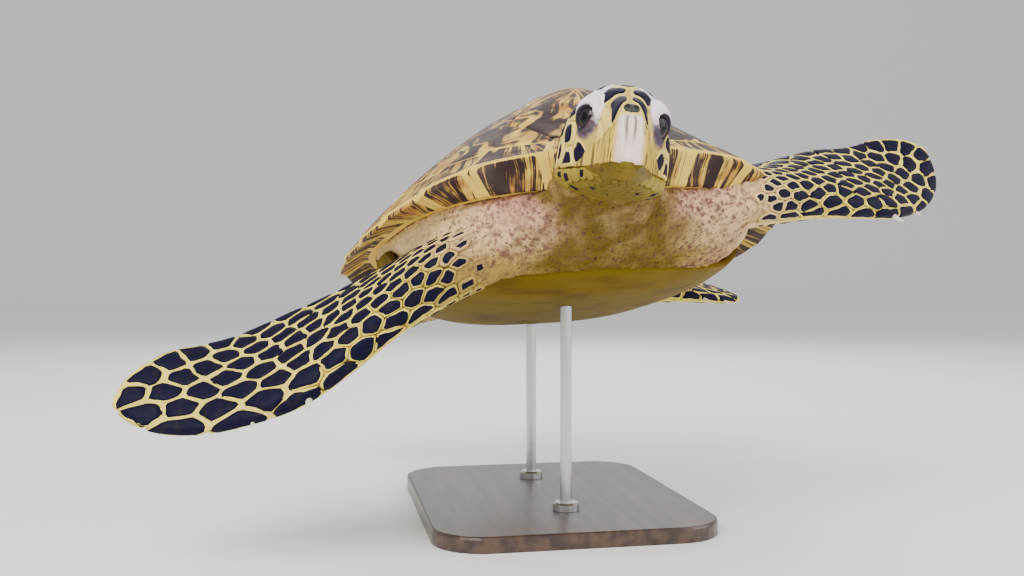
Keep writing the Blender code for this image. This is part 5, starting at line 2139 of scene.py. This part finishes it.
# ---- shell
@dataclass
class Carapace:
    """The upper shell: a smooth core and its overlapping plates.

    Bounds along the spine are shares of the shell's length from its middle, and widths are
    shares of it too.
    """

    form: ShellForm
    core_depth: float = 0.0016  # how far the core lies inside the outline
    bed: float = -0.0024  # underside of the plates
    front_lift: float = -0.0010
    rear_lift: float = 0.0016
    overlap: float = 0.008
    spine_bounds: tuple[float, ...] = (-0.445, -0.275, -0.09, 0.09, 0.265, 0.425)
    seam_width: float = 0.078
    middle_width: float = 0.132
    costal_bounds: tuple[float, ...] = (0.060, 0.350, 0.520, 0.690, 0.925)
    rim_share: float = 0.845  # where the rim plates begin
    halvings: int = 26

    def core(self) -> Surface:
        """The closed core: over the top from spine to rim, and back along the flat underside."""
        p = np.concatenate([np.linspace(0, 1, 241), np.linspace(1, 0, 241)[1:-1]])
        side = np.concatenate([np.ones(241), -np.ones(239)])
        shares = np.linspace(0, 1, 46) ** 0.8
        top = [self.form.lifted(np.full(len(p), s), p, side, -self.core_depth) for s in shares]
        edge = self.form.point(np.ones(len(p)), p, side)
        edge[:, 2] -= self.form.rim_thickness
        below = [
            self.form.underside(np.full(len(p), s), p, side)
            for s in (0.97, 0.94, 0.90, 0.7, 0.45, 0.2, 0.0)
        ]
        rows = np.stack(top + [edge] + below)
        index = numbered(*rows.shape[:2])
        faces = quads(index, np.roll(index, -1, axis=1), flip=True)
        core = Surface(rows.reshape(-1, 3), [faces])
        return self.dressed(core, 0, np.array((0.0, 0.0)), 0.4)

    def half_width(self, y: Array) -> Array:
        """Half the width of the plates along the spine: widest in the middle of each."""
        bounds = np.array(self.spine_bounds)
        corners = [(bounds[0], 0.088)]
        for low, high in zip(bounds, bounds[1:]):
            corners += [((low + high) / 2, self.middle_width), (high, self.seam_width)]
        corners[-1] = (bounds[-1], 0.060)
        at, width = np.array(corners).T
        return np.interp(y / self.form.length, at, width) * self.form.length

    def inner_share(self, p: Array) -> Array:
        """The share at which the line at p meets the plates along the spine, by halving."""
        low, high = np.zeros_like(p), np.full_like(p, self.rim_share)
        for _ in range(self.halvings):
            share = (low + high) / 2
            point = self.form.point(share, p, np.ones_like(p))
            y_past = np.abs(point[..., 1] + 0.01 * self.form.length) > 0.435 * self.form.length
            short = (point[..., 0] < self.half_width(point[..., 1])) & ~y_past
            low, high = np.where(short, share, low), np.where(short, high, share)
        return share

    def lift(self, along: Array) -> Array:
        """Height of a plate's top from its front (0) to its rear (1), which rides up."""
        return self.front_lift + (self.rear_lift - self.front_lift) * along**1.6

    def edged(self, height: Array, along: Array, across: Array) -> Array:
        """Rounds a plate's sides and rear down to its bed."""
        sides = 1 - np.abs(across) ** 40
        rear = 1 - np.clip((along - 0.985) / 0.015, 0, 1) ** 2 * 0.35
        return self.bed + (height - self.bed) * (sides * rear)

    def spine_plate(self, number: int) -> Surface:
        """One plate of the row over the spine, its rear edge drawn out to a low point."""
        low, high = (self.form.length * b for b in self.spine_bounds[number : number + 2])
        along = np.linspace(0, 1, 44)[:, None]
        across = np.linspace(-1, 1, 61)[None]
        reach = self.overlap if number < 4 else -0.002
        point_back = 0.014 * (1 - np.abs(across)) ** 1.5 if number < 4 else 0 * across
        y = low + (high - low) * along + (reach + point_back) * along**3
        x = across * (self.half_width(np.minimum(y, high)) + 0.0010)
        height = self.edged(self.lift(along) + 0.0006, along, across)
        outer = self.form.over_plan(x, y, height)
        inner = self.form.over_plan(x, y, self.bed)
        plate = Surface.slab(outer, inner)
        root = np.array((0.0, high - 0.18 * (high - low)))
        return self.dressed(plate, number, root, 0.55)

    def side_plate(self, number: int, side: int) -> Surface:
        """One of the large plates between spine and rim, overlapping the next one back."""
        low, high = self.costal_bounds[number : number + 2]
        along = np.linspace(0, 1, 52)[:, None]
        across = np.linspace(0, 1, 56)[None]
        last = number == len(self.costal_bounds) - 2
        reach = 0.0 if last else 0.013
        swell = 0.012 * np.sin(PI * across) ** 1.5 if not last else 0 * across
        p = low + (high - low) * along + (reach + swell) * along**3
        inner_share = self.inner_share(p + 0 * across)
        share = inner_share + (self.rim_share + 0.006 - inner_share) * across
        height = self.edged(self.lift(along) + 0.0003 * (1 - across), along, 2 * across - 1)
        outer = self.form.lifted(share, p, np.full_like(share, side), height)
        inner = self.form.lifted(share, p, np.full_like(share, side), self.bed)
        plate = Surface.slab(outer, inner)
        at = self.form.point(np.array(0.62), np.array(high - 0.10 * (high - low)), np.array(side))
        return self.dressed(plate, 7 + number + 5 * (side > 0), at[:2], 0.85)

    def rim_plate(self, number: int, side: int) -> Surface:
        """One plate of the rim, wrapping round it; number -1 is half of the nuchal plate."""
        bounds = self.form.bounds()
        low, high = (0.0, bounds[0]) if number < 0 else bounds[number : number + 2]
        gap = 0.0006 * (number >= 0)
        along = np.linspace(0, 1, 30)[:, None]
        across = np.linspace(0, 1, 26)[None]
        p = low + gap + (high - low - 2 * gap) * along + 0 * across
        share = self.rim_share + (1 - self.rim_share) * across + 0 * along
        height = self.edged(self.lift(along) * (1 - 0.7 * across**3), along, 0 * across)
        outer = self.form.lifted(share, p, np.full_like(share, side), height)
        inner = self.form.underside(share, p, np.full_like(share, side))
        inner[..., 2] -= 0.0006
        plate = Surface.slab(outer, inner)
        mid_p = low + 0.85 * (high - low)
        at = self.form.point(np.array(0.60), np.array(mid_p), np.array(float(side)))
        plate = self.dressed(plate, 20 + number + 14 * (side > 0), at[:2], 0.0, 0.03)
        plate.marks["ray"] = 3.2 * plate.marks["ray"]
        ends = np.minimum(along, 1 - along) * (3.2 if number < 0 else 1.6)
        over = np.minimum(ends, np.minimum(2.2 * across, 1.8 * (1 - across)))
        under = np.minimum(0.8 * ends, 0.7 * across)
        borders = [0.9 * (1 - fade(over, 0.02, 0.20)), 0.9 * (1 - fade(under, 0.06, 0.26))]
        plate.marks["border"] = np.concatenate([border.ravel() for border in borders])
        return plate

    def dressed(
        self, plate: Surface, number: int, root: Array, pull: float, sway: float = 0.10
    ) -> Surface:
        """Gives a plate the marks that its rays follow.

        Args:
            plate: The plate.
            number: The plate's number, so that no two are alike.
            root: Where its rays start, on the plan.
            pull: How much of its border is yellow.
            sway: How far the rays bend to and fro, in radians.

        Returns:
            The plate with the angle and distance of each point from the root.
        """
        points = plate.points
        away = points[:, :2] - root
        distance = np.linalg.norm(away, axis=1)
        turn = np.arctan2(away[:, 0], -away[:, 1]) + sway * soft_noise(points, 0.06, 91)
        share, _ = self.form.share_at(points[:, 0], points[:, 1])
        plate.marks = {
            "ray": turn,
            "reach": distance / 0.10,
            "plate": np.full(len(points), number * 3.7),
            "border": pull * fade(share, 0.80, 0.86),
        }
        return plate

    def build(self, bench: Bench, finish: Material) -> None:
        """Makes the core and the rows of plates."""
        core = self.core()
        bench.place("shell_core", core, finish, "shell_plates", ["carapace"], weld=0.00002)
        rows = {"spine_plates": Surface.joined([self.spine_plate(n) for n in range(5)])}
        for side, title in ((1, "left"), (-1, "right")):
            sides = [self.side_plate(n, side) for n in range(4)]
            rim = [self.rim_plate(n, side) for n in range(-1, self.form.marginals)]
            rows[f"side_plates_{title}"] = outward(Surface.joined(sides), side)
            rows[f"rim_plates_{title}"] = outward(Surface.joined(rim), side)
        for title, row in rows.items():
            bench.place(f"shell_{title}", row, finish, "shell_plates", sharp=50)


def outward(surface: Surface, side: int) -> Surface:
    """Turns the faces of a mirrored surface outward."""
    if side > 0:
        surface.faces = [faces[:, ::-1] for faces in surface.faces]
    return surface


@dataclass
class Plastron:
    """The lower shell: plates in pairs, parted by sunk seams."""

    belly: BellyForm
    bridge: float = 0.14
    thickness: float = 0.007
    seams: tuple[float, ...] = (0.185, 0.29, 0.42, 0.56, 0.70, 0.80)
    depth: float = 0.0004

    def build(self) -> Surface:
        """A slab of the belly's form whose seams are sunk by a bell curve of their distance."""
        angle = np.linspace(self.bridge - 0.03, PI - self.bridge + 0.03, 181)[None]
        under = np.abs(np.sin(angle))
        front = smooth_curve((0, 0.36), (0.45, 0.30), (0.75, 0.20), (1, 0.115))(under)
        back = smooth_curve((0, 0.60), (0.45, 0.66), (0.75, 0.78), (1, 0.90))(under)
        q = front + (back - front) * np.linspace(0, 1, 221)[:, None]
        flat = self.belly.point(q, angle)
        wander = 0.006 * np.sin(flat[..., 1] * 40) + 0.003 * np.sin(flat[..., 1] * 97)
        gaps = [np.abs(flat[..., 0] - wander)]
        for n, seam in enumerate(self.seams):
            bowed = (seam - 0.5) * SHELL_LENGTH + 0.35 * np.abs(flat[..., 0]) * (1 - 0.3 * n)
            gaps.append(np.abs(flat[..., 1] - bowed))
        gaps.append(np.abs(np.abs(flat[..., 0]) - 0.150 - 0.02 * np.sin(flat[..., 1] * 9)))
        gap = np.min(gaps, axis=0)
        seam = np.exp(-((gap / 0.0016) ** 2))
        swell = 0.0002 * fade(gap, 0.0, 0.02)
        outer = self.belly.point(q, angle, self.depth * seam - swell)
        inner = self.belly.point(q, angle, self.thickness)
        plate = Surface.slab(inner, outer)
        plate.marks = {"seam": np.tile(seam.ravel(), 2)}
        return plate


# ---- stand and studio
@dataclass
class Stand:
    """The display stand's own solids, which only take their finishes."""

    base: str = "stand_base"
    rods: tuple[str, ...] = ("stand_rod_front", "stand_rod_back")

    def dress(self) -> None:
        """Puts wood on the base and steel on the rods."""
        wood, steel = WoodFinish().material(), SteelFinish().material()
        for name in (self.base, *self.rods):
            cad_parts[name].data.materials[0] = wood if name == self.base else steel
            LOG.info("%s: dressed", name)


@dataclass
class Studio:
    """A plain pale floor, soft light and the camera."""

    focal: float = 1000.0 / 1024 * 36.0  # for a sensor 36 wide
    camera_place: Triple = (-0.295, -1.276, 0.30)
    heading: float = math.radians(11.0)
    pitch: float = math.radians(-0.6)
    pale: Colour = (0.88, 0.88, 0.87)
    sky: Colour = (0.86, 0.86, 0.88)
    sky_strength: float = 0.85

    def floor(self) -> None:
        """A wide pale floor that bends up into a distant wall."""
        turn, level = np.linspace(0.1, 1.57, 12), np.linspace(-9, 9, 10)
        run = np.concatenate([level, 9 + 2.5 * np.sin(turn)])
        rise = np.concatenate([np.zeros(len(level)), 2.5 * (1 - np.cos(turn)), [12.0]])
        run = np.append(run, run[-1])
        grid = xyz(np.linspace(-14, 14, 3), run[:, None], rise[:, None])
        index = numbered(*grid.shape[:2])
        mesh = Surface(grid.reshape(-1, 3), [quads(index[:, :-1], index[:, 1:])]).mesh("floor")
        mesh.materials.append(Nodes("pale floor").finished(self.pale, None, roughness=0.75))
        in_scene("floor", mesh)

    def aimed(self, name: str, data: bpy.types.ID, place: Triple, aim: Vector) -> bpy.types.Object:
        """Puts a light or the camera at a place, looking along a direction."""
        made = in_scene(name, data)
        made.location = place
        made.rotation_euler = aim.to_track_quat("-Z", "Y").to_euler()
        return made

    def light(self, name: str, place: Triple, size: float, watts: float) -> None:
        """A soft square light aimed at the turtle."""
        lamp = bpy.data.lights.new(name, "AREA")
        lamp.size, lamp.energy = size, watts
        self.aimed(name, lamp, place, Vector((0, 0, 0.33)) - Vector(place))

    def camera(self) -> None:
        """The camera, ahead of the turtle and a little to its right."""
        lens = bpy.data.cameras.new("camera")
        lens.sensor_width, lens.lens = 36.0, self.focal
        level = math.cos(self.pitch)
        ahead, beside = math.cos(self.heading) * level, math.sin(self.heading) * level
        aim = Vector((beside, ahead, math.sin(self.pitch)))
        bpy.context.scene.camera = self.aimed("camera", lens, self.camera_place, aim)

    def build(self) -> None:
        """Sets up the studio."""
        world = bpy.data.worlds.new("studio")
        world.use_nodes = True
        inputs = world.node_tree.nodes["Background"].inputs
        inputs["Color"].default_value = (*self.sky, 1)
        inputs["Strength"].default_value = self.sky_strength
        bpy.context.scene.world = world
        self.floor()
        self.light("key", (-1.5, -2.1, 2.5), 1.8, 130)
        self.light("fill", (2.4, -1.4, 1.3), 2.2, 46)
        self.light("back", (0.6, 2.4, 2.2), 2.0, 60)
        self.camera()


def main() -> None:
    """Builds the turtle, its stand and the studio."""
    logging.basicConfig(level=logging.INFO, format="%(message)s")
    bench = Bench(SwimmingPose().matrix())
    head, belly, shell = HeadForm(), BellyForm(), ShellForm()
    marks = Markings(head)

    skin_finish = SkinFinish().material()
    bed = ScaleFinish("pale scales").material()
    dark = ScaleFinish("dark scales", (0.030, 0.018, 0.016), 0.5, 0.07).material()
    skin, normals = Skin(belly, head, marks).build()
    scales = HeadScales(head)
    skull = scales.skull_chart()
    lids = [Lids(Eye(side, head), skull, marks) for side in (1, -1)]
    collars = [lid.build() for lid in lids]
    flesh = ["head", "jaw", "neck", "trunk", "tail"]
    flesh += [limb.title.format("flipper") for limb in Limb]
    whole = Surface.joined([skin] + collars)
    bench.place("skin", whole, skin_finish, "skin", flesh)
    for title, pebbles in Pebbles(marks).build(skin.points, normals).items():
        bench.place(f"skin_pebbles_{title}", pebbles, skin_finish, "skin")
    for limb in Limb:
        FlipperScales(limb).build(bench, marks, bed, dark)

    crown = scales.crown(skull, [lid.place() for lid in lids])
    jaw = scales.jaw(scales.jaw_chart())
    beds = Surface.joined([crown.beds(HEAD_BED, 71), jaw.beds(JAW_BED, 72)])
    blotches = Surface.joined(
        [crown.marks(HEAD_MARK, 73), jaw.marks(JAW_MARK, 74), scales.nostrils(skull)]
    )
    bench.place("head_scales", beds, bed, "skin")
    bench.place("head_markings", blotches, dark, "skin")

    wet = EyeFinish().material()
    for side, title in ((1, "left"), (-1, "right")):
        bench.place(f"eyeball_{title}", Eye(side, head).ball(), wet, "eye", [f"eye_{title}"])
    beak = Beak(head)
    # the pale pinkish white of the beak's front is partly the horn's own pale colour and partly a
    # painted highlight
    horn = HornFinish("beak horn", (0.86, 0.67, 0.58), (0.60, 0.40, 0.055)).material()
    # painted shade: the lower beak's horn is given dark olive colours
    chin = HornFinish("lower beak horn", (0.20, 0.135, 0.010), (0.15, 0.10, 0.008)).material()
    bench.place("beak_horn_upper", beak.upper(), horn, "horn", ["beak_upper"], sharp=60)
    bench.place("beak_horn_lower", beak.lower(), chin, "horn", ["beak_lower"], sharp=60)
    nail = HornFinish("claw horn", (0.80, 0.74, 0.58), (0.60, 0.48, 0.28), streaks=0.2).material()
    for limb in Limb:
        places = ((0.58, 0.020), (0.70, 0.012)) if limb.fore else ((0.62, 0.014), (0.76, 0.010))
        for number, (station, size) in enumerate(places, 1):
            node = limb.title.format("claw") + f"_{number}"
            claw = Claw(limb, station, size).build()
            bench.place(node.replace("claw", "claw_horn"), claw, nail, "horn", [node])

    Carapace(shell).build(bench, ShellFinish().material())
    plates_below = Plastron(belly).build()
    bench.place(
        "plastron_horn", plates_below, PlastronFinish().material(), "plastron", ["plastron"]
    )
    Stand().dress()
    Studio().build()


if __name__ == "__main__":
    main()
